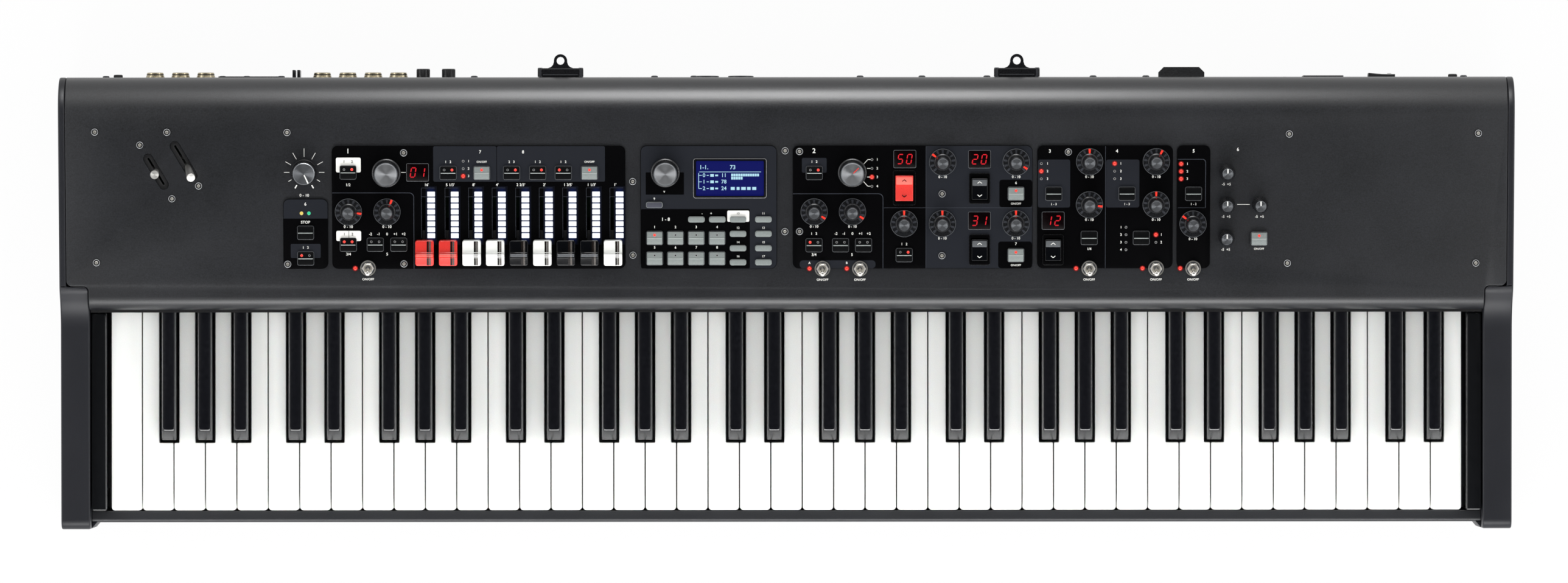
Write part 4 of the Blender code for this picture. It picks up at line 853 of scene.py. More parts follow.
def joint_x(joint):
    return joint * KEY_PITCH - KEYS_HALF


def has_black(joint):
    return 0 < joint < WHITE_KEYS and (joint + 1) % OCTAVE in BLACK_OFFSETS


def black_x(joint):
    return joint_x(joint) + BLACK_OFFSETS[(joint + 1) % OCTAVE]


def white_key(key):
    """One white key: rounded front corners, and room at its sides for the black keys."""
    head, tail = KEY_FRONT + 50.5, 21.6
    left = joint_x(key) + KEY_GAP
    right = left + KEY_PITCH - 2 * KEY_GAP
    tail_left = black_x(key) + BLACK_ROOM if has_black(key) else left
    tail_right = black_x(key + 1) - BLACK_ROOM if has_black(key + 1) else right
    line = [(tail_left, tail, 0)]
    if tail_left > left:
        line += [(tail_left, head, 0.8), (left, head, 0.8)]
    line += [(left, KEY_FRONT, 2.4), (right, KEY_FRONT, 2.4)]
    if tail_right < right:
        line += [(right, head, 0.8), (tail_right, head, 0.8)]
    line += [(tail_right, tail, 0)]
    return plate(rounded(line, steps=4), KEY_TOP - 18, KEY_TOP, 0.55, 3)


def black_key():
    """A black key round x = 0, with a crowned top and a nose that slopes to the front."""
    front, rear = KEY_FRONT + 52.3, LIP_Y + 6
    levels = [(5.6, 0.0, 70.0, 1.0), (5.6, 0.3, 86.0, 1.0), (4.95, 6.4, 94.4, 1.8),
              (4.75, 7.3, 95.4, 2.3), (4.45, 7.9, 95.85, 2.4), (4.1, 8.3, 96.0, 2.4)]
    shape = bmesh.new()
    rings = []
    for half, inset, z, radius in levels:
        low = front + inset
        ring = rounded([(half, rear, 0), (half, low, radius), (-half, low, radius),
                        (-half, rear, 0)], steps=4)
        rings.append([shape.verts.new((x, y, z)) for x, y in ring])
    count = len(rings[0])
    for low, high in zip(rings, rings[1:]):
        for i in range(count):
            j = (i + 1) % count
            shape.faces.new([low[i], low[j], high[j], high[i]])
    shape.faces.new(rings[0])
    shape.faces.new(rings[-1])
    return finished(shape)


def make_keys():
    """Seven combs of white keys, and seven of black keys on a plate that steps up over them."""
    cap = black_key()
    step = [(-13, 87.6), (34, 87.6), (34, 76), (43, 76), (43, 91.6), (-13, 91.6)]
    for i, (first, last) in enumerate(zip(COMB_STARTS, COMB_STARTS[1:]), 1):
        left, right = joint_x(first), joint_x(last)
        rail = block((left + KEY_GAP, right - KEY_GAP), (21, 31), (66.02, 83.98), 0.4)
        keys = [white_key(key) for key in range(first, last)]
        piece(f"white_octave_{i}", f"white_keys_{i}", [(mesh, IVORY, MM) for mesh in keys + [rail]],
              f"white_keys_{i}")
        spots = [(black_x(joint), 0, 0) for joint in range(first + 1, last + 1) if has_black(joint)]
        carrier = prism(step, left + 0.5, right - 0.5, 0.3)
        piece(f"black_octave_{i}", f"black_keys_{i}",
              on(MM, (copies("points", cap, EBONY, spots), EBONY), (carrier, EBONY)),
              f"black_keys_{i}", corner=28)


# Small parts of the panels

LENS = turned([(0, -0.4), (0.6, -0.4), (0.6, 0.16), (0.4, 0.26), (0, 0.3)], 16)
COLLAR = turned([(0.6, -0.3), (0.86, -0.3), (0.86, 0.1), (0.78, 0.18), (0.6, 0.18),
                 (0.6, -0.3)], 16)
# A disc of painted glow round a lit lamp.
GLOW_DISC = turned([(0, -0.3), (1.55, -0.3), (1.55, 0.05), (0, 0.05)], 20)
BRIGHT_LENS = turned([(0, -0.4), (1.02, -0.4), (1.02, 0.2), (0.75, 0.38), (0, 0.42)], 20)


def lamp_parts(place, lit, colour=None):
    if not lit:
        return on(place, (LENS, DARK), (COLLAR, LAMP_RING))
    if colour:
        return on(place, (BRIGHT_LENS, colour))
    return on(place, (BRIGHT_LENS, LAMP_RED), (GLOW_DISC, LAMP_GLOW))


def panel_lamp(x, v, lit=True, colour=None):
    return lamp_parts(at(x, v, FACE) @ Matrix.Scale(1.3 if lit else 1.1, 4), lit, colour)


def lamp_column(x, figure_x, levels, marks, size=2.6):
    """Lamps under each other, numbered from the top. A lamp is lit where its mark is *."""
    parts = []
    for i, (v, mark) in enumerate(zip(levels, marks)):
        parts += panel_lamp(x, v, mark == "*")
        parts.append(figures(str(i + 1), figure_x, v, size))
    return parts


BUTTON_WIDTH, BUTTON_LENGTH, BUTTON_SLOPE = 11.4, 9.4, -7
LAMP_SPOTS = ((), (0,), (-2.9, 2.9))


def button_parts(x, v, marks="", body=BUTTON_BLACK):
    """A rubber button in a rim, with a ridge across it. A lamp in it is lit where its mark is *."""
    width, length, half = BUTTON_WIDTH, BUTTON_LENGTH, BUTTON_LENGTH / 2
    # The pale outline round the button is a painted highlight on its edge.
    light = plate(centred(width + 1.1, length + 1.1, 1.5), FACE - 0.2, FACE + 0.3, 0.1)
    rim = plate(centred(width + 0.7, length + 0.7, 1.3), FACE - 0.2, FACE + 0.55, 0.2)
    profile = [(-half, FACE), (half, FACE), (half, FACE + 1.7), (0.3, FACE + 2.3),
               (-0.3, FACE + 2.3), (-half, FACE + 1.7)]
    cap = prism(profile, -width / 2, width / 2, 0.45, 3)
    # The bar's pale grey is a painted highlight on the ridge's crest.
    bar = block((-width / 2 + 0.25, width / 2 - 0.25), (-0.32, 0.32), (FACE + 1, FACE + 2.55), 0.15)
    parts = on(at(x, v), (light, PALE_GREY_AND_EDGE_HIGHLIGHT), (rim, RIM), (cap, body), (bar, RIDGE))
    for lamp_x, mark in zip(LAMP_SPOTS[len(marks)], marks):
        parts += lamp_parts(at(x, v) @ shift(lamp_x, 2.4, FACE + 1.9) @ spin(BUTTON_SLOPE, "X"),
                            mark == "*")
    return parts


def buttons(rows, body=BUTTON_BLACK):
    return [part for x, v, marks in rows for part in button_parts(x, v, marks, body)]


def pill_parts(x, v, finish=BUTTON_GREY):
    # The pale rim is a painted highlight round the pill's edge.
    rim = plate(centred(12.3, 4.5, 1.6), FACE - 0.2, FACE + 0.5, 0.15)
    cap = plate(centred(11.8, 4.0, 1.4), FACE, FACE + 1.8, 0.45, 3)
    return on(at(x, v), (rim, RIDGE), (cap, finish))


RIB = plate([(-0.24, -0.3), (0.24, -0.3), (0.14, 0.28), (-0.14, 0.28)], 0, 1)


def ribs(radius, low, high, count):
    rib = RIB.copy()
    rib.transform(shift(z=low) @ Matrix.Diagonal((1, 1, high - low, 1)))
    return copies("circle", rib, KNURL, Count=count, Radius=radius, Step=2 * pi / count)


RING_DISC = turned([(0, 1.1), (9.8, 1.1), (9.8, 2.2), (9.6, 2.4), (7.0, 2.6), (0, 2.6)], 56)
# The ring's pale edge is a painted highlight.
RING_EDGE = turned([(9.8, 1.0), (10.05, 1.0), (10.05, 2.2), (9.95, 2.35), (9.8, 2.35),
                    (9.8, 1.0)], 56)
WINDOW = plate([(-0.62, -1.35), (0.62, -1.35), (0.85, 1.35), (-0.85, 1.35)], 2.3, 2.62)
LIT_WINDOW = plate([(-0.6, -1.6), (0.6, -1.6), (0.8, 1.6), (-0.8, 1.6)], 2.3, 2.75)
# A window of painted glow just inside the lit window of a ring.
NEAR_WINDOW = plate([(-0.45, -0.7), (0.45, -0.7), (0.6, 0.7), (-0.6, 0.7)], 2.3, 2.72)
RING_MARKS = copies("circle", WINDOW, RING_WINDOW, Count=11, Radius=7.95,
                    First_Angle=radians(-135), Step=radians(27))
GRIP = turned([(0, 2.5), (6.3, 2.5), (6.3, 3.4), (5.6, 4.0), (5.0, 12.0), (4.6, 12.7),
               (0, 12.7)], 40)
GRIP_RIBS = ribs(5.2, 4.0, 12.0, 26)
GRIP_CAP = turned([(0, 12.5), (4.15, 12.5), (4.15, 13.1), (3.8, 13.5), (0, 13.62)], 40)
GRIP_LIP = turned([(4.1, 12.4), (4.65, 12.4), (4.65, 12.9), (4.4, 13.15), (4.15, 13.15),
                   (4.1, 12.4)], 40)


def ring_knob_parts(x, v, lit_angle):
    """A small knob in a lamp ring. The lit window stands at an angle clockwise from the top."""
    return on(at(x, v), (RING_DISC, RING_FACE), (RING_EDGE, PALE_GREY_AND_EDGE_HIGHLIGHT), (RING_MARKS, RING_WINDOW),
              (GRIP, KNURL), (GRIP_RIBS, KNURL), (GRIP_LIP, KNURL), (GRIP_CAP, SMALL_METAL)
              ) + on(at(x, v, turn=-lit_angle), (moved(LIT_WINDOW, y=8.1), LAMP_RED),
                     (moved(NEAR_WINDOW, y=5.9), LAMP_GLOW))


def tone_knob_parts(x, v):
    skirt = turned([(0, 0), (6.0, 0), (6.0, 1.2), (5.5, 2.4), (5.1, 12.2), (4.7, 13), (0, 13)], 40)
    pointer = block((-0.45, 0.45), (0.6, 3.9), (13.0, 14.05))
    return on(at(x, v), (skirt, KNURL), (ribs(5.3, 2.4, 12.2, 30), KNURL),
              (moved(GRIP_CAP, z=0.3), SMALL_METAL), (pointer, WHITE_INK))


# A figure's bars, as (x, y, angle), and the bars that each figure lights
BARS = {"top": (0, 3.5, 0), "middle": (0, 0, 0), "bottom": (0, -3.5, 0),
        "upper_left": (-1.7, 1.75, 90), "upper_right": (1.7, 1.75, 90),
        "lower_left": (-1.7, -1.75, 90), "lower_right": (1.7, -1.75, 90)}
LIT_BARS = {
    "0": ("top", "bottom", "upper_left", "upper_right", "lower_left", "lower_right"),
    "1": ("upper_right", "lower_right"),
    "2": ("top", "middle", "bottom", "upper_right", "lower_left"),
    "3": ("top", "middle", "bottom", "upper_right", "lower_right"),
    "5": ("top", "middle", "bottom", "upper_left", "lower_right"),
}
BAR_HALF, BAR_SIDE = 1.5, 0.39
FIGURE_SLANT = Matrix(((1, 0.16, 0, 0), (0, 1, 0, 0), (0, 0, 1, 0), (0, 0, 0, 1)))


def digit_parts(x, v, text):
    """A two-figure red display with a slanted seven-bar figure on each side."""
    # The pale border is a painted highlight on the window's edge.
    border = plate(centred(16.8, 13.5, 1.1), FACE - 0.2, FACE + 0.35, 0.1)
    glass = plate(centred(16.3, 13.0, 0.9), FACE, FACE + 0.45, 0.1)
    flat = BAR_HALF - BAR_SIDE
    bar = plate([(-BAR_HALF, 0), (-flat, -BAR_SIDE), (flat, -BAR_SIDE), (BAR_HALF, 0),
                 (flat, BAR_SIDE), (-flat, BAR_SIDE)], FACE + 0.4, FACE + 0.52)
    parts = on(at(x, v), (border, PALE_GREY_AND_EDGE_HIGHLIGHT), (glass, DIGIT_BACK))
    for side, figure in zip((-3.3, 3.3), text):
        for name in LIT_BARS[figure]:
            a, b, angle = BARS[name]
            parts.append((bar, DIGIT_ON, at(x, v) @ shift(side) @ FIGURE_SLANT @ shift(a, b)
                          @ spin(angle)))
    return parts


def ink_line(x, v, length, width, angle=0.0, finish=WHITE_INK, w=FACE):
    """A printed line, centred on its place, at an angle anticlockwise from x."""
    return (plate(centred(length, width), w - 0.1, w + 2 * INK), finish, at(x, v, 0, angle))


def patch(x, v, radius, finish, layer=1):
    return (plate(rectangle(x, v, radius), FACE - 0.2, FACE + INK * layer / 2), finish, DECK)


def bounded_corner(x, v, left, low, radius=3.5):
    """A printed line along the top of an area and down its right side, with a round corner."""
    half = 0.22
    path = rounded([(left, v, 0), (x, v, radius), (x, low, 0)], closed=False, steps=6)
    inside = rounded([(left, v - 2 * half, 0), (x - 2 * half, v - 2 * half, radius - half),
                      (x - 2 * half, low, 0)], closed=False, steps=6)
    return (plate(path + inside[::-1], FACE - 0.1, FACE + 2 * INK), FILM_LINE, DECK)


def figures(text, x, v, size=3.0, w=FACE, finish=WHITE_INK):
    return (words(text, size, 0.012 * size), finish, at(x, v, w + 0.12))


def labels(rows, w=FACE):
    return [figures(text, x, v, size, w) for text, x, v, size in rows]


def panel_screws(places, w):
    """Pan-head screws with a hexagon recess, each turned its own way."""
    head = turned([(2.65, 0), (2.65, 0.5), (2.5, 0.85), (2.3, 0.9), (2.15, 0.7), (2.15, 0.2)], 28)
    well = turned([(1.4, 0.2), (1.4, 0.8), (1.15, 1.05), (0.8, 1.0), (0.7, 0.4), (0, 0.3)], 6)
    washer = turned([(0, 0.3), (2.2, 0.3), (2.2, -0.02), (3.0, -0.02), (3.0, 0.14),
                     (2.6, 0.14)], 28)
    points = [(x, v, w) for x, v in places]
    return [(copies("points", mesh, finish, points, Spin=6.0), finish, DECK)
            for mesh, finish in ((head, STEEL), (well, NICKEL), (washer, DARK))]


def switch_seat(name):
    """Washer, hexagonal nut and bush of a toggle switch."""
    washer = turned([(0, 0.3), (5.9, 0.3), (5.9, 1.7), (5.6, 2.0), (3.2, 2.0), (0, 2.0)], 40)
    rim = turned([(4.9, 1.9), (5.85, 1.9), (5.7, 2.3), (5.1, 2.3), (4.9, 1.9)], 40)
    nut = plate(circle_line(4.5, 6), 2.0, 4.1, 0.4)
    bush = turned([(3.5, 2.0), (3.5, 5.2), (3.2, 5.5), (2.7, 5.5), (2.65, 2.0), (3.5, 2.0)], 32)
    # A disc of painted shade at the bottom of the bush's bore.
    well = turned([(0, 2.05), (2.7, 2.05), (2.7, 2.2), (0, 2.2)], 20)
    return on(at(*TOGGLES[name]), (washer, RIM_DARK), (rim, NICKEL), (nut, NICKEL), (bush, NICKEL),
              (well, DARK))


def rocker_seat(name):
    """The dark well and the raised rim round a rocker."""
    x, v, width, length = ROCKERS[name]
    rim = plate(centred(width + 3.2, length + 6.6, 1.4), FACE - 0.3, FACE + 1.5, 0.5)
    edge = plate(centred(width + 3.7, length + 7.1, 1.7), FACE - 0.3, FACE + 0.3, 0.1)
    hole = through(rocker_outline(name))
    return on(at(x, v), (holed(rim, hole), FILM), (holed(edge, hole), RIM))


# Control panels

PANEL_V, PANEL_CORNER, TINT_CORNER = (31.0, 123.3), 4.5, 4.2


def overlay(outlines, holes):
    """The black plates of a control panel with their holes."""
    return [(holed(plate(line, GAP, FACE, 0.25), *holes), FILM, DECK) for line in outlines]


def make_organ_panel():
    """The panel with the drawbars, and the block of two buttons that joins its left side."""
    outlines = [rectangle((-338.4, -119.9), PANEL_V, PANEL_CORNER),
                rectangle((-374.8, -341.4), (PANEL_V[0], 83.5), PANEL_CORNER)]
    head = rounded([(-374.5, 68.8, 0), (-341.7, 68.8, 0), (-341.7, 83.2, TINT_CORNER),
                    (-374.5, 83.2, TINT_CORNER)])
    parts = overlay(outlines, drawbar_slots() + [shaft_hole("organ_model_knob")])
    parts += [
        (plate(head, FACE - 0.2, FACE + INK / 2), FILM_GREY, DECK),
        patch((-369.3, -347.0), (39.2, 49.8), 1.0, FILM_GREY),
        patch((-262.9, -215.9), (96.4, 123.0), 1.2, FILM_GREY),
        patch((-215.5, -135.1), (96.4, 123.0), 1.2, FILM_GREY),
        patch((-335.3, -316.8), (103.4, 114.5), 1.2, WHITE_INK),
        patch((-335.3, -316.8), (51.9, 59.6), 1.2, WHITE_INK),
        bounded_corner(-277.3, 88.3, -338.2, 31.2), ink_line(-326.0, 55.7, 7.6, 0.3, 90, FILM),
    ]
    parts += buttons((
        (-326.3, 103.4, "-*"), (-326.4, 49.2, "**"), (-306.3, 49.2, "--"), (-288.8, 49.2, "--"),
        (-251.8, 103.0, "-*"), (-204.6, 103.0, "-*"), (-185.2, 103.0, "-*"), (-166.1, 103.0, "*-"),
        (-358.2, 58.2, ""), (-358.2, 38.9, "*-")))
    parts += buttons(((-226.8, 103.0, "*"), (-146.6, 103.0, "*")), BUTTON_GREY)
    parts += ring_knob_parts(-326.2, 73.8, 98) + ring_knob_parts(-297.5, 73.8, 22)
    parts += digit_parts(-274.6, 103.4, "01") + [ink_line(-285.0, 103.4, 3.6, 0.35)]
    parts += panel_lamp(-361.1, 72.8, colour=LAMP_YELLOW)
    parts += panel_lamp(-355.6, 72.8, colour=LAMP_GREEN)
    parts += lamp_column(-240.6, -236.6, (111.8, 106.2, 100.6), "--*", 2.5)
    parts += panel_lamp(-321.3, 31.4) + switch_seat("organ_toggle")
    parts += [figures(text, x, v, 2.8, finish=FILM) for v in (111.4, 57.0)
              for text, x in (("1", -329.3), ("2", -323.3))]
    parts += labels((
        ("1", -326.3, 119.3, 5.0), ("1/2", -326.3, 94.0, 2.9), ("0 - 10", -326.3, 62.6, 2.9),
        ("0 - 10", -297.5, 62.6, 2.9), ("3/4", -326.3, 42.0, 2.9), ("5", -297.5, 42.0, 2.9),
        ("7", -228.0, 118.6, 3.3), ("8", -196.0, 118.6, 3.3), ("6", -358.2, 79.6, 3.3),
        ("STOP", -358.2, 66.0, 2.9), ("1   2", -358.2, 47.0, 2.6),
        ("ON/OFF", -226.8, 111.2, 2.1), ("ON/OFF", -146.6, 111.2, 2.1),
        ("2   3", -204.6, 111.2, 2.6), ("1   2", -185.2, 111.2, 2.6), ("1   2", -166.1, 111.2, 2.6),
        ("1   2", -251.8, 111.2, 2.6), ("-2", -309.8, 57.1, 2.8), ("-1", -303.8, 57.1, 2.8),
        ("0", -297.5, 57.1, 2.8), ("+1", -291.2, 57.1, 2.8), ("+2", -285.2, 57.1, 2.8)))
    parts += drawbar_field() + panel_screws([(-284.9, 118.1), (-285.0, 34.8), (-371.6, 34.6)], FACE)
    piece("organ_panel", "case", parts, "organ_fascia")


def drawbar_field():
    """Lamp segments, slot outlines and footage figures beside the drawbars."""
    segment = plate(centred(5.7, 3.6, 0.3, 2), FACE - 0.1, FACE + 0.2)
    column = copies("row", segment, LAMP_WHITE, Count=8, Spacing=(0, 4.46, 0))
    # A painted blue glow round each column of lamps.
    halo = bpy.data.meshes.new("halo")
    levels = ((49.0, 0), (55.0, 1), (88.0, 1), (93.0, 0))
    grid = [(x, v, FACE + 0.03) for v, _ in levels for x in (-4.4, 0, 4.4)]
    halo.from_pydata(grid, [], [(i, i + 1, i + 4, i + 3) for i in (0, 1, 3, 4, 6, 7)])
    for loop, mark in zip(halo.loops, halo.uv_layers.new(name="turning").data):
        mark.uv = (loop.vertex_index % 3 == 1, levels[loop.vertex_index // 3][1])
    parts = []
    for x, name in zip(DRAWBAR_X, FOOTAGES):
        parts += [
            (moved(column, x + 4.95, 55.9), LAMP_WHITE, DECK), (moved(halo, x + 4.95), HALO, DECK),
            ink_line(x - 2.3, 73.0, 37.5, 0.22, 90, FILM_LINE),
            ink_line(x + 2.6, 91.7, 10.0, 0.22, 0, FILM_LINE),
            ink_line(x - 0.1, 85.1, 4.2, 0.22, 0, FILM_LINE),
            figures(name, x + 1.6, 94.0, 2.9),
        ]
    return parts


def make_display_panel():
    window = through(rectangle((-68.7, -15.5), (84.6, 113.0)))
    holes = [shaft_hole("data_knob"), window]
    tint = plate(rectangle((-108.3, -7.5), (31.3, 123.0), TINT_CORNER), FACE - 0.2, FACE + 0.04)
    parts = overlay([rectangle((-108.6, -7.2), PANEL_V, PANEL_CORNER)], holes)
    parts += [(holed(tint, *holes[::-1]), FILM_GREY, DECK),
              patch((-108.3, -27.3), (31.3, 75.8), 1.0, FILM, 3),
              patch((-104.8, -76.3), (86.6, 103.3), 0.4, FILM, 3),
              patch((-44.1, -27.7), (66.2, 74.6), 1.0, WHITE_INK, 4)]
    for i, mark in enumerate("*-------"):
        x, v = -98.2 + 15.5 * (i % 4), (54.1, 38.8)[i // 4]
        parts += button_parts(x, v, mark, BUTTON_GREY) + [figures(str(i + 1), x, v + 8.1, 2.6)]
    parts += pill_parts(-98.4, 78.9, BUTTON_SLATE)
    parts += pill_parts(-67.1, 68.0) + pill_parts(-51.5, 68.0)
    for v in (68.0, 57.2, 46.4, 35.8):
        parts += pill_parts(-36.1, v) + pill_parts(-17.2, v)
    for i, v in enumerate((72.4, 61.6, 50.8, 40.2)):
        if i:
            parts.append(figures(str(10 + 2 * i), -36.1, v, 2.3))
        parts.append(figures(str(11 + 2 * i), -17.2, v, 2.3))
    parts += labels((("-       +", -59.3, 72.4, 2.8), ("9", -98.4, 83.4, 2.6),
                     ("1 - 8", -90.0, 68.0, 3.4), ("v", -91.0, 89.0, 2.8)))
    parts.append(figures("10", -36.1, 72.4, 2.3, finish=FILM))
    bezel = plate(rectangle((-69.1, -15.1), (84.2, 113.4), 1.6), FACE - 0.3, FACE + 0.9, 0.3)
    edge = plate(rectangle((-69.4, -14.8), (83.9, 113.7), 1.8), FACE - 0.3, FACE + 0.4)
    parts += on(DECK, (holed(bezel, through(rectangle((-67.3, -16.9), (85.7, 111.9), 0.9))), BEZEL),
                (holed(edge, through(rectangle((-68.9, -15.3), (84.4, 113.2), 1.4))), LAMP_RING))
    piece("display_panel", "case", parts, "display_fascia")


def make_screen():
    """The blue backlit display with generic figures and level bars."""
    def dot(x, v, width, height, angle=0):
        return ink_line(x, v, width, height, angle, LCD_INK)

    lens = plate(rectangle((-68.5, -15.7), (84.8, 112.8), 0.4), GAP, FACE)
    cell = plate(centred(1.5, 2.0), FACE - 0.1, FACE + 2 * INK)
    texts = [("1-1.", -61.5, 107.0, 4.4), ("73", -40.0, 107.0, 4.4)]
    dots = []
    for row, (v, text) in enumerate(((101.0, "11"), (96.2, "78"), (91.2, "24"))):
        texts += [(str(row), -61.4, v, 4.0), (text, -46.6, v, 4.0)]
        dots += [dot(-64.2, v, 2.4, 0.4), dot(-58.6, v, 1.6, 0.5), dot(-55.4, v, 2.6, 2.0),
                 dot(-52.0, v, 2.2, 1.2)]
    dots += [dot(-65.4, 97.0, 11.6, 0.4, 90), dot(-42.0, 103.6, 46.0, 0.35)]
    dots += [dot(-40.0 + 4.0 * i, 91.2, width, 2.2)
             for i, width in enumerate((3.0, 2.2, 3.4, 2.6, 3.0))]
    rows = [(moved(copies("row", cell, LCD_INK, Count=count, Spacing=(1.75, 0, 0)), -40.4, v),
             LCD_INK, DECK) for count, v in ((12, 101.3), (5, 98.9))]
    parts = [figures(text, x, v, size, finish=LCD_INK) for text, x, v, size in texts]
    piece("display_screen", "case", [(lens, LCD_BACK, DECK)] + parts + dots + rows,
          "display_window")


def make_voice_panel():
    """The panel of the keys' voices and the two effects beside them."""
    rockers = ("voice_select_rocker", "effect_one_rocker", "effect_two_rocker")
    holes = [rocker_hole(name) for name in rockers] + [shaft_hole("voice_knob")]
    tint = plate(rounded([(103.8, 31.3, 0), (182.9, 31.3, TINT_CORNER), (182.9, 123.0, TINT_CORNER),
                          (103.8, 123.0, 0)]), FACE - 0.2, FACE + 0.04)
    parts = overlay([rectangle((4.7, 183.2), PANEL_V, PANEL_CORNER)], holes)
    parts += [
        (holed(tint, *holes), FILM_GREY, DECK),
        patch((11.5, 29.9), (103.0, 114.0), 1.0, FILM_GREY),
        patch((9.8, 66.3), (31.2, 37.2), 2.5, FILM_GREY),
        patch((158.5, 182.9), (77.0, 97.6), 2.0, FILM, 3),
        patch((157.7, 182.9), (31.3, 51.2), 2.0, FILM, 3),
        bounded_corner(72.1, 87.4, 4.9, 31.2), ink_line(127.7, 76.6, 110.5, 0.3, 0, FILM_LINE),
        ink_line(103.8, 77.0, 91.5, 0.25, 90, FILM_LINE),
    ]
    for x, v, angle in ((20.6, 73.7, 122), (49.1, 73.7, 122), (116.3, 110.9, -52),
                        (116.1, 64.8, 0), (171.0, 110.9, 122), (170.9, 64.8, 0)):
        parts += ring_knob_parts(x, v, angle) + [figures("0 - 10", x, v - 11.2, 2.7)]
    parts += ring_knob_parts(87.6, 64.8, 0)
    parts += buttons(((20.7, 102.8, "-*"), (20.5, 48.6, "*-"), (40.3, 48.6, "--"),
                      (57.4, 48.6, "--"), (87.7, 41.1, "-*")))
    parts += buttons(((170.9, 87.2, "*"), (170.9, 41.0, "*")), BUTTON_GREY)
    for x, v, text in ((88.1, 113.2, "50"), (143.7, 113.0, "20"), (143.7, 66.9, "31")):
        parts += digit_parts(x, v, text)
    for name in rockers:
        parts += rocker_seat(name)
    levels = (112.8, 106.2, 99.7, 92.8)
    parts += lamp_column(63.6, 67.6, levels, "--*-")
    for v, near in zip(levels, (60.6, 60.0, 60.0, 60.6)):
        parts.append(ink_line((near + 62.4) / 2, v, 62.4 - near, 0.45))
    parts += [ink_line(58.9, 111.0, 4.8, 0.45, 48), ink_line(58.9, 94.6, 4.8, 0.45, -48)]
    for x, name in ((17.1, "voice_a_toggle"), (44.9, "voice_b_toggle")):
        parts += panel_lamp(x, 31.0) + switch_seat(name)
    parts += labels((
        ("2", 20.5, 119.3, 5.0), ("1   2", 20.7, 111.2, 2.6), ("3/4", 20.5, 41.4, 2.9),
        ("5", 48.8, 41.4, 2.9), ("1   2", 20.5, 57.2, 2.6), ("1   2", 87.7, 49.3, 2.6),
        ("6", 170.9, 95.2, 2.8), ("7", 170.9, 49.4, 2.8), ("ON/OFF", 170.9, 79.6, 2.1),
        ("ON/OFF", 170.9, 33.4, 2.1), ("A", 17.1, 35.2, 2.4), ("B", 44.9, 35.2, 2.4),
        ("-2", 36.9, 57.2, 2.8), ("-1", 42.8, 57.2, 2.8), ("0", 49.1, 57.2, 2.8),
        ("+1", 55.3, 57.2, 2.8), ("+2", 61.2, 57.2, 2.8)))
    parts += panel_screws([(9.7, 118.9), (9.7, 58.9), (115.9, 87.1), (115.8, 40.7)], FACE)
    piece("keys_panel", "case", parts, "voice_fascia")


def make_effect_panel():
    """Effects, speaker and reverb panels side by side, with the tone knobs on the deck."""
    outlines = [rectangle(span, PANEL_V, PANEL_CORNER) for span in ((186.7, 287.7), (290.7, 315.5))]
    parts = overlay(outlines, [rocker_hole("effect_three_rocker")])
    parts += [
        patch((187.2, 211.2), (76.7, 112.7), 1.6, FILM_GREY),
        patch((237.9, 262.7), (76.7, 112.7), 1.6, FILM_GREY),
        ink_line(237.5, 77.0, 91.5, 0.35, 90, FILM_LINE),
        bounded_corner(312.2, 113.1, 291.2, 76.5, 2.5),
        ink_line(301.5, 76.5, 20.0, 0.3, 0, FILM_LINE),
    ]
    for x, v, angle in ((225.6, 111.1, 0), (225.6, 78.9, 98), (275.3, 111.1, 28), (275.3, 78.9, 0),
                        (302.8, 64.4, -52)):
        parts += ring_knob_parts(x, v, angle) + [figures("0 - 10", x, v - 11.4, 2.7)]
    for x, v in ((328.1, 103.1), (328.0, 78.8), (352.8, 78.8), (327.8, 54.1)):
        parts += tone_knob_parts(x, v) + [figures("-5  +5", x - 0.5, v - 9.2, 2.7, 0.0)]
    parts.append(ink_line(340.4, 78.8, 9.4, 0.45, w=0.0))
    parts += buttons(((199.0, 87.1, ""), (253.5, 87.1, ""), (225.5, 53.9, ""), (264.3, 53.9, ""),
                      (303.1, 87.0, "")))
    parts += button_parts(352.1, 53.3, "*", BUTTON_GREY)
    parts += digit_parts(198.6, 66.9, "12") + rocker_seat("effect_three_rocker")
    for x, figure_x, levels, marks in (
            (189.7, 194.3, (109.7, 104.0, 98.3), "-*-"),
            (244.3, 248.9, (109.7, 104.0, 98.3), "*--"),
            (293.8, 298.4, (109.4, 103.8, 98.2), "***"), (275.2, 279.2, (56.3, 50.6), "*-"),
            (252.9, 249.2, (61.9, 56.3, 50.6, 45.0), "----")):
        parts += lamp_column(x, figure_x, levels, marks)
    parts += labels((
        ("3", 196.0, 119.0, 3.6), ("4", 246.0, 119.0, 3.6), ("5", 303.0, 119.0, 3.6),
        ("1 - 3", 199.0, 79.2, 2.4), ("1 - 3", 253.5, 79.2, 2.4), ("1 - 3", 303.1, 79.2, 2.4),
        ("1/4", 225.5, 45.6, 2.6)))
    parts += labels((("6", 336.0, 120.0, 3.6), ("ON/OFF", 352.1, 45.4, 2.1)), 0.0)
    for x, name in ((215.8, "effect_toggle"), (265.3, "speaker_toggle"), (293.4, "reverb_toggle")):
        parts += panel_lamp(x, 31.0) + switch_seat(name)
    parts += panel_screws([(209.8, 118.4)], FACE)
    piece("effects_panel", "case", parts, "effect_fascia")


# Deck screws as (x, y), in mm from the object's middle
DECK_SCREWS = (
    (-514.7, 119.0), (-481.2, 109.3), (-461.0, 118.8), (-371.6, 118.6), (-457.6, 69.4),
    (-437.7, 78.9), (-514.2, 21.8), (-114.5, 82.0), (-114.4, 27.2), (-1.0, 104.8), (-1.2, 44.7),
    (374.2, 117.0), (514.9, 117.5), (373.3, 20.9), (513.8, 20.9),
)


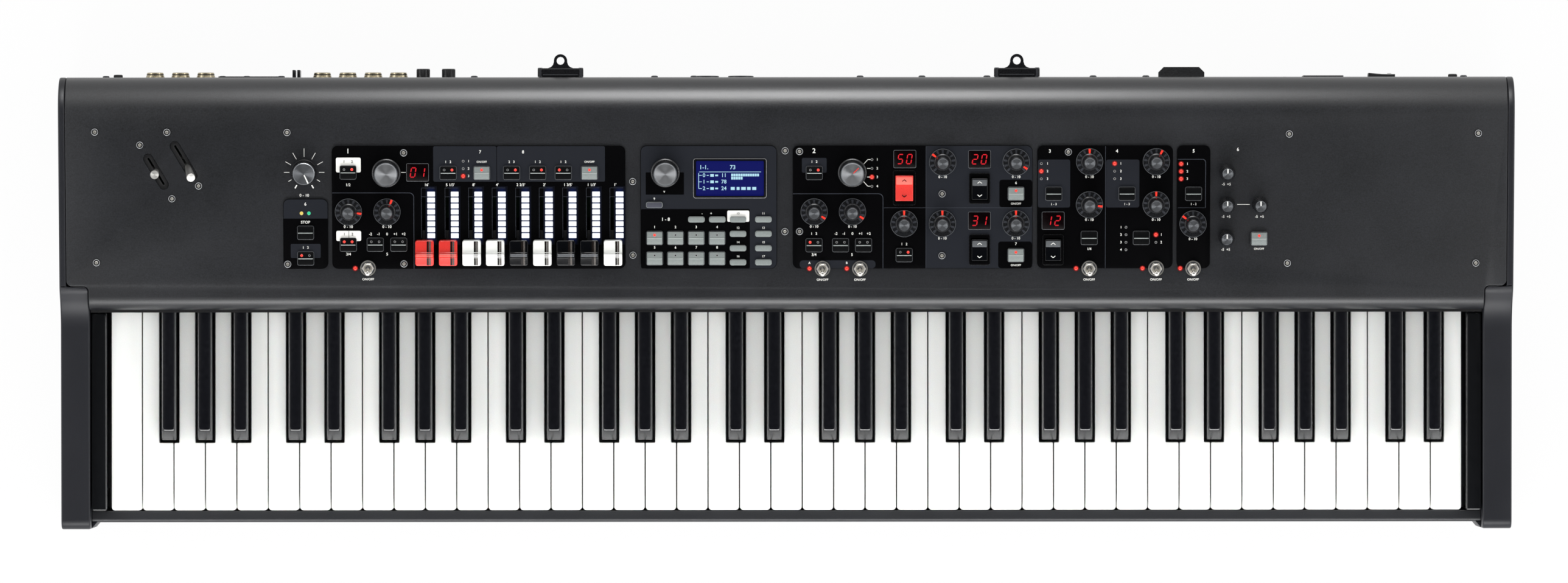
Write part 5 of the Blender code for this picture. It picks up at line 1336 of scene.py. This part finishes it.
def make_deck_print():
    """What is printed and screwed on the bare deck."""
    parts = panel_screws([(x, (y - LIP_Y) / cos(TILT)) for x, y in DECK_SCREWS], 0.0)
    x, v = KNOB_PLACES["master_volume_knob"]
    for angle, near, far in ((0, 11.6, 18.0), (30, 11.4, 16.9), (60, 11.3, 16.0), (90, 11.0, 15.0),
                             (120, 11.0, 13.6), (150, 11.0, 13.8)):
        half = 0.45 if angle == 150 else 0.2
        tick = plate(rectangle((-half, half), (near, far)), -0.1, INK)
        parts += [(tick, WHITE_INK, at(x, v, turn=side)) for side in {angle, -angle}]
    parts.append(figures("0 - 10", x, v - 17.3, 3.0, 0.0))
    parts += [figures("ON/OFF", x, v - 8.6, 2.4, 0.0) for x, v in TOGGLES.values()]
    piece("deck_print", "case", parts)


# Moving controls

def make_selector_knobs():
    """Three spun-topped dials without end stops, one of them with a red pointer."""
    skirt = turned([(0, 1.8), (10.7, 1.8), (10.7, 3.0), (10.2, 3.5), (9.3, 3.7), (0, 3.7)], 64)
    grip = turned([(0, 3.6), (8.9, 3.6), (8.8, 10.4), (8.4, 11.0), (0, 11.0)], 64)
    face = turned([(0, 10.9), (8.3, 10.9), (8.3, 11.2), (7.9, 11.6), (7.0, 11.7), (0, 11.6)], 64)
    # The pale lip round the cap is a painted highlight on its edge.
    lip = turned([(8.2, 10.8), (8.7, 10.8), (8.7, 11.1), (8.5, 11.35), (8.25, 11.35),
                  (8.2, 10.8)], 64)
    dot = plate(circle_line(0.16, 6), 3.4, 3.72)
    dots = copies("circle", dot, FILM_LINE, Count=48, Radius=9.9, Step=2 * pi / 48)
    shaft = turned([(0, -25.7), (3.0, -25.7), (3.0, 2.0), (0, 2.0)], 20)
    pointer = block((-0.3, 0.3), (1.0, 6.6), (11.4, 11.78))
    for name in ("organ_model_knob", "data_knob", "voice_knob"):
        x, v = KNOB_PLACES[name]
        parts = on(at(x, v), (skirt, KNURL), (grip, KNURL), (ribs(8.85, 3.6, 10.4, 58), KNURL),
                   (face, CAP_METAL), (lip, PALE_GREY_AND_EDGE_HIGHLIGHT), (dots, PALE_GREY_AND_EDGE_HIGHLIGHT), (shaft, STEEL))
        if name == "voice_knob":
            parts.append((pointer, RED_GLOSS, at(x, v, turn=-45)))
        piece(name.replace("_knob", "_dial"), name, parts, name)


def make_master_knob():
    name = "master_volume_knob"
    x, v = KNOB_PLACES[name]
    skirt = turned([(0, 0.5), (9.8, 0.5), (9.8, 1.6), (9.3, 2.2), (0, 2.3)], 64)
    grip = turned([(0, 2.2), (8.9, 2.2), (8.6, 9.4), (8.1, 10.0), (0, 10.0)], 64)
    face = turned([(0, 9.8), (8.1, 9.8), (8.1, 10.1), (7.7, 10.4), (0, 10.4)], 64)
    shaft = turned([(0, -25.7), (3.0, -25.7), (3.0, 1.0), (0, 1.0)], 20)
    pointer = block((-0.5, 0.5), (0.8, 7.9), (10.2, 10.5), 0.12)
    parts = on(at(x, v), (skirt, KNURL), (grip, KNURL), (ribs(8.75, 2.6, 9.4, 58), KNURL),
               (face, SMALL_METAL), (shaft, STEEL))
    piece("master_dial", name, parts + [(pointer, WHITE_INK, at(x, v, turn=-155))], name)


def make_drawbars():
    """Caps with a raised grip and two smoked strips let in, each on a stem through its slot."""
    half, low, top = 9.5, FACE + 0.5, FACE + 9.0
    crown = rounded([
        (half + 1, top - 3.1, 0), (0.6, top - 1.9, 0), (-0.4, top, 0.35), (-2.2, top, 0.35),
        (-3.2, top - 1.6, 0), (-half - 1, top - 3.5, 0)], closed=False, steps=5)
    above = prism(crown + [(-half - 1, top + 9), (half + 1, top + 9)], -8, 8)
    cap = soften(cut(plate(centred(13.7, 2 * half, 1.6), low, top + 2), above), 0.45, 3, low + 1)
    # Three thin lines of painted highlight across each cap's ridge.
    ridge_highlights = joined([block((-6.2, 6.2), (y - 0.16, y + 0.16), (top - 0.3, top + 0.06))
                     for y in (-0.6, -1.3, -2.0)])
    strip = [(-half + 0.5, low + 1), (half - 0.5, low + 1)]
    strip += [(y, top - drop) for y, drop in ((9, 2.87), (0.6, 1.85), (-0.4, -0.04), (-2.2, -0.04),
                                              (-3.2, 1.55), (-9, 3.05))]
    stem = block((-1.5, 1.5), (-4, 4), (-2.9, low + 1))
    shoe = block((-4, 4), (-4, 16), (-4.9, -1.9), 0.3)
    looks = {"red": (CAP_RED, "red"), "white": (CAP_WHITE, "ivory"),
             "black": (CAP_BLACK, "black_key")}
    for i, (x, colour) in enumerate(zip(DRAWBAR_X, BAR_COLOURS), 1):
        finish, slot = looks[colour]
        parts = on(at(x, DRAWBAR_V), (cap, finish), (ridge_highlights, CAP_RIDGE_HIGHLIGHT[colour]),
                   (prism(strip, 1.7, 3.2), SMOKED), (prism(strip, 3.35, 4.7), SMOKED_PALE),
                   (stem, MOULDED), (shoe, MOULDED))
        piece(f"drawbar_cap_{i}", f"drawbar_{i}", parts, f"drawbar_{i}")


def make_levers():
    """Two turned sticks that rise through slots lined with brush felt."""
    lips = []
    for name, (place, length) in LEVER_SLOTS.items():
        brush = plate(slot_outline(length + 2, 8.8, place), -3.2, -1.65)
        ring = plate(slot_outline(length, 7.5, place), -0.1, 0.07)
        lips += on(DECK, (holed(brush, through(slot_outline(length - 1, 1.6, place))), BLACK_FELT_AND_SHADE),
                   (holed(ring, lever_hole(name)), RIM))
    piece("lever_brushes", "case", lips)
    stick = turned([(0, 0), (1.6, 0), (2.3, 22), (3.3, 38.8), (3.25, 39.3), (3.0, 39.6),
                    (2.6, 39.65), (0, 39.7)], 40)
    hub = turned([(0, -4), (3.6, -4), (4, -3.6), (4, 3.6), (3.6, 4), (0, 4)], 32)
    hub.transform(SIDEWAYS)
    for name, lean in (("pitch_lever", 0), ("modulation_lever", 18)):
        place = at(*LEVER_SLOTS[name][0], -20, SLOT_SLANT) @ spin(lean, "X")
        piece(name.replace("_lever", "_stick"), name,
              on(place, (stick, LEVER_METAL), (hub, LEVER_METAL)), name)


def make_toggles():
    bat = turned([(0, 0), (1.1, 0), (1.15, 5), (1.8, 11.2), (1.7, 12.1), (1.2, 12.5),
                  (0, 12.6)], 28)
    ball = turned([(0, -2.4), (1.4, -1.95), (2.2, -1.0), (2.4, 0), (2.2, 1.0), (1.4, 1.95),
                   (0, 2.4)], 28)
    for name, (x, v) in TOGGLES.items():
        piece(name.replace("_toggle", "_bat"), name,
              on(at(x, v, 2.5) @ spin(12, "X"), (bat, NICKEL), (ball, RIM_DARK)), name)


def make_rockers():
    """Keys that tilt each way, with a lighter plate on the upper half in painted sheen, where that
    half catches the light, and an arrow at each end.
    """
    top = FACE + 4.0
    arm = plate(centred(2.2, 0.5), top - 0.6, top - 0.02)
    for name, (x, v, width, length) in ROCKERS.items():
        half = length / 2
        red = name == "voice_select_rocker"
        profile = [(-half, FACE - 2), (half, FACE - 2), (half, top), (half * 0.4, top - 0.65),
                   (0, top - 0.9), (-half * 0.4, top - 0.65), (-half, top)]
        # The plate on the upper half carries painted sheen: that half is drawn lighter as if lit.
        sheen_plate = plate(rectangle((-width / 2 + 0.6, width / 2 - 0.6), (half * 0.3, half - 0.9), 0.6),
                    top - 0.9, top - 0.12, 0.1)
        key = prism(profile, -width / 2, width / 2, 0.55, 3)
        parts = on(at(x, v), (key, RED_GLOSS if red else CAP_BLACK),
                   (sheen_plate, RED_ROCKER_SHEEN if red else GREY_ROCKER_SHEEN))
        for side, lean in ((1, 1), (1, -1), (-1, 1), (-1, -1)):
            place = at(x, v) @ shift(lean * 0.75, side * half * 0.62) @ spin(-side * lean * 38)
            parts.append((arm, RIM if red else WHITE_INK, place))
        piece(name.replace("_rocker", "_tilt_key"), name, parts, name)


# Rear. The fittings stand in one line at the same height.

FITTING_Z = 70
JACK_X = (-472.8, -453.8, -434.8, -347.6, -328.5, -309.5, -290.5)
GAIN_KNOB_X, ROUND_SOCKET_X, HOOK_X = (-272.0, -253.0), (-60.0, -34.0), (-368.6, -365.0)
INLET_X, POWER_SWITCH_X, BRACKET_X = 402, 446, (-168.7, 172.3)
LOW_SCREW_Z, HIGH_SCREW_Z = 40.0, 98.5
HIGH_SCREW_X = (-507.9, -420.9, -402.8, -377.0, -233.0, -98.4, -69.0, 55.1, 101.3, 149.8, 229.1,
                268.5, 505.8)


def rear(x, z=FITTING_Z):
    """A place on the rear face, with a shape's z pointing to the rear."""
    return MM @ shift(x, REAR_Y, z) @ spin(-90, "X")


def jack_parts():
    jack = turned([(6.05, 0.1), (7.2, 0.1), (7.2, 0.8), (6.8, 1.0), (6.7, 2.0), (6.3, 2.3),
                   (6.15, 4.0), (5.8, 4.3), (3.6, 4.3), (3.3, 4.15)], 40)
    # A ring of painted shade in the groove of each jack nut.
    groove = turned([(5.9, 2.5), (6.4, 2.5), (6.4, 3.1), (5.9, 3.1), (5.9, 2.5)], 40)
    knob = turned([(0, 0.1), (4.9, 0.1), (4.7, 6.4), (4.2, 6.9), (0, 6.9)], 32)
    parts = []
    for x in JACK_X:
        parts += on(rear(x), (jack, JACK_METAL), (groove, DARK))
    for x in GAIN_KNOB_X:
        parts += on(rear(x), (knob, KNURL), (ribs(4.75, 0.4, 6.4, 24), KNURL))
    return parts


def socket_parts():
    """Round sockets with their pins, the power inlet's blades and the power switch."""
    rim = turned([(7.0, 0.1), (9.6, 0.1), (9.6, 1.3), (9.2, 1.65), (7.2, 1.65), (7.0, 1.4),
                  (7.0, 0.1)], 40)
    pin = turned([(0, -7.6), (0.7, -7.6), (0.7, -1.5), (0, -1.2)], 12)
    pins = copies("circle", pin, GOLD, Count=5, Radius=4.4, First_Angle=radians(-90),
                  Step=radians(45))
    parts = []
    for x in ROUND_SOCKET_X:
        parts += on(rear(x), (rim, RIM_DARK), (pins, GOLD))
    blade = block((-1.0, 1.0), (-2.6, 2.6), (-15, -3), 0.3)
    parts += [(blade, NICKEL, rear(INLET_X + x, FITTING_Z + z))
              for x, z in ((-6.5, 2.5), (6.5, 2.5), (0.0, -3.5))]
    rocker = prism([(-10, 0.2), (10, 0.2), (10, 3.6), (0, 2.6), (-10, 2.4)], -6.0, 6.0, 0.5, 3)
    rocker.transform(spin(90))
    circle = turned([(1.0, 2.2), (1.4, 2.2), (1.4, 2.65), (1.0, 2.65), (1.0, 2.2)], 20)
    return parts + [(rocker, CAP_BLACK, rear(POWER_SWITCH_X)),
                    (plate(centred(3, 0.6), 2.9, 3.45), WHITE_INK, rear(POWER_SWITCH_X + 6)),
                    (circle, WHITE_INK, rear(POWER_SWITCH_X - 5))]


def bracket_parts():
    """Details of the stand brackets: flared sides, a score line, a fold and a pin on each side."""
    flare = plate([(3, 166.5), (9.8, 166.9), (7.2, 167.9), (5.7, 169.4), (5.0, 171.6),
                   (3.2, 171.6)], 91.2, 93.8, 0.3)
    score = block((-13, 13), (162.0, 162.3), (95.8, 96.1))
    fold = block((3.4, 3.65), (162.3, 166.2), (95.8, 96.1))
    pin = turned([(0, 0.4), (1.9, 0.4), (1.9, 6.9), (1.5, 7.3), (0, 7.3)], 20)
    parts = []
    for x in BRACKET_X:
        parts += on(MM @ shift(x), (flare, BRACKET), (mirrored(flare), BRACKET), (score, PALE_GREY_AND_EDGE_HIGHLIGHT),
                    (fold, RIM))
        parts += [(pin, RIM_DARK, rear(x + side, 94.3)) for side in (-15.1, 15.1)]
    return parts


def rear_screw_parts():
    screw = turned([(0, 0), (2.6, 0), (2.6, 0.6), (2.1, 1.2), (1.2, 1.35), (1.1, 0.5),
                    (0, 0.5)], 24)
    places = [(x, LOW_SCREW_Z, 0) for x in range(-500, 501, 125)]
    places += [(x, HIGH_SCREW_Z, 0) for x in HIGH_SCREW_X]
    heads = copies("points", screw, RIM_DARK, places, Spin=6.0)
    heads.transform(Matrix.Diagonal((1, 1, -1, 1)))
    heads.flip_normals()
    return [(heads, RIM_DARK, MM @ shift(y=REAR_Y) @ spin(90, "X"))]


def make_rear_fittings():
    parts = jack_parts() + socket_parts() + bracket_parts() + rear_screw_parts()
    bumper = turned([(0, 0.1), (3.4, 0.1), (3.4, 1.6), (2.8, 2.2), (0, 2.3)], 24)
    parts += [(bumper, NEOPRENE, rear(x, 96)) for x in (-499.0, 497.8)]
    parts += [(block((x - 1.1, x + 1.1), (REAR_Y + 0.1, REAR_Y + 6.2), (60, 78), 0.4), BRACKET, MM)
              for x in HOOK_X]
    parts.append((block((-424, -379), (REAR_Y + 0.1, REAR_Y + 0.9), (90, 101), 0.2), PAINT, MM))
    piece("rear_fittings", "case", parts)


def dress_nodes():
    """Finishes of the CAD nodes that stay in view."""
    finishes = {
        "bottom_pan": PAINT, "jack_panel": PAINT, "key_bed": STEEL, "control_board": BOARD,
        "left_stand_bracket": BRACKET, "right_stand_bracket": BRACKET,
    }
    for name, finish in finishes.items():
        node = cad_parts[name]
        node.data.materials.clear()
        node.data.materials.append(finish)


make_camera()
make_world()
make_floor()
make_lamps()
make_deck_panel()
make_end_blocks()
make_slip_and_cheeks()
make_feet()
make_keys()
make_organ_panel()
make_display_panel()
make_screen()
make_voice_panel()
make_effect_panel()
make_deck_print()
make_selector_knobs()
make_master_knob()
make_drawbars()
make_levers()
make_toggles()
make_rockers()
make_rear_fittings()
dress_nodes()
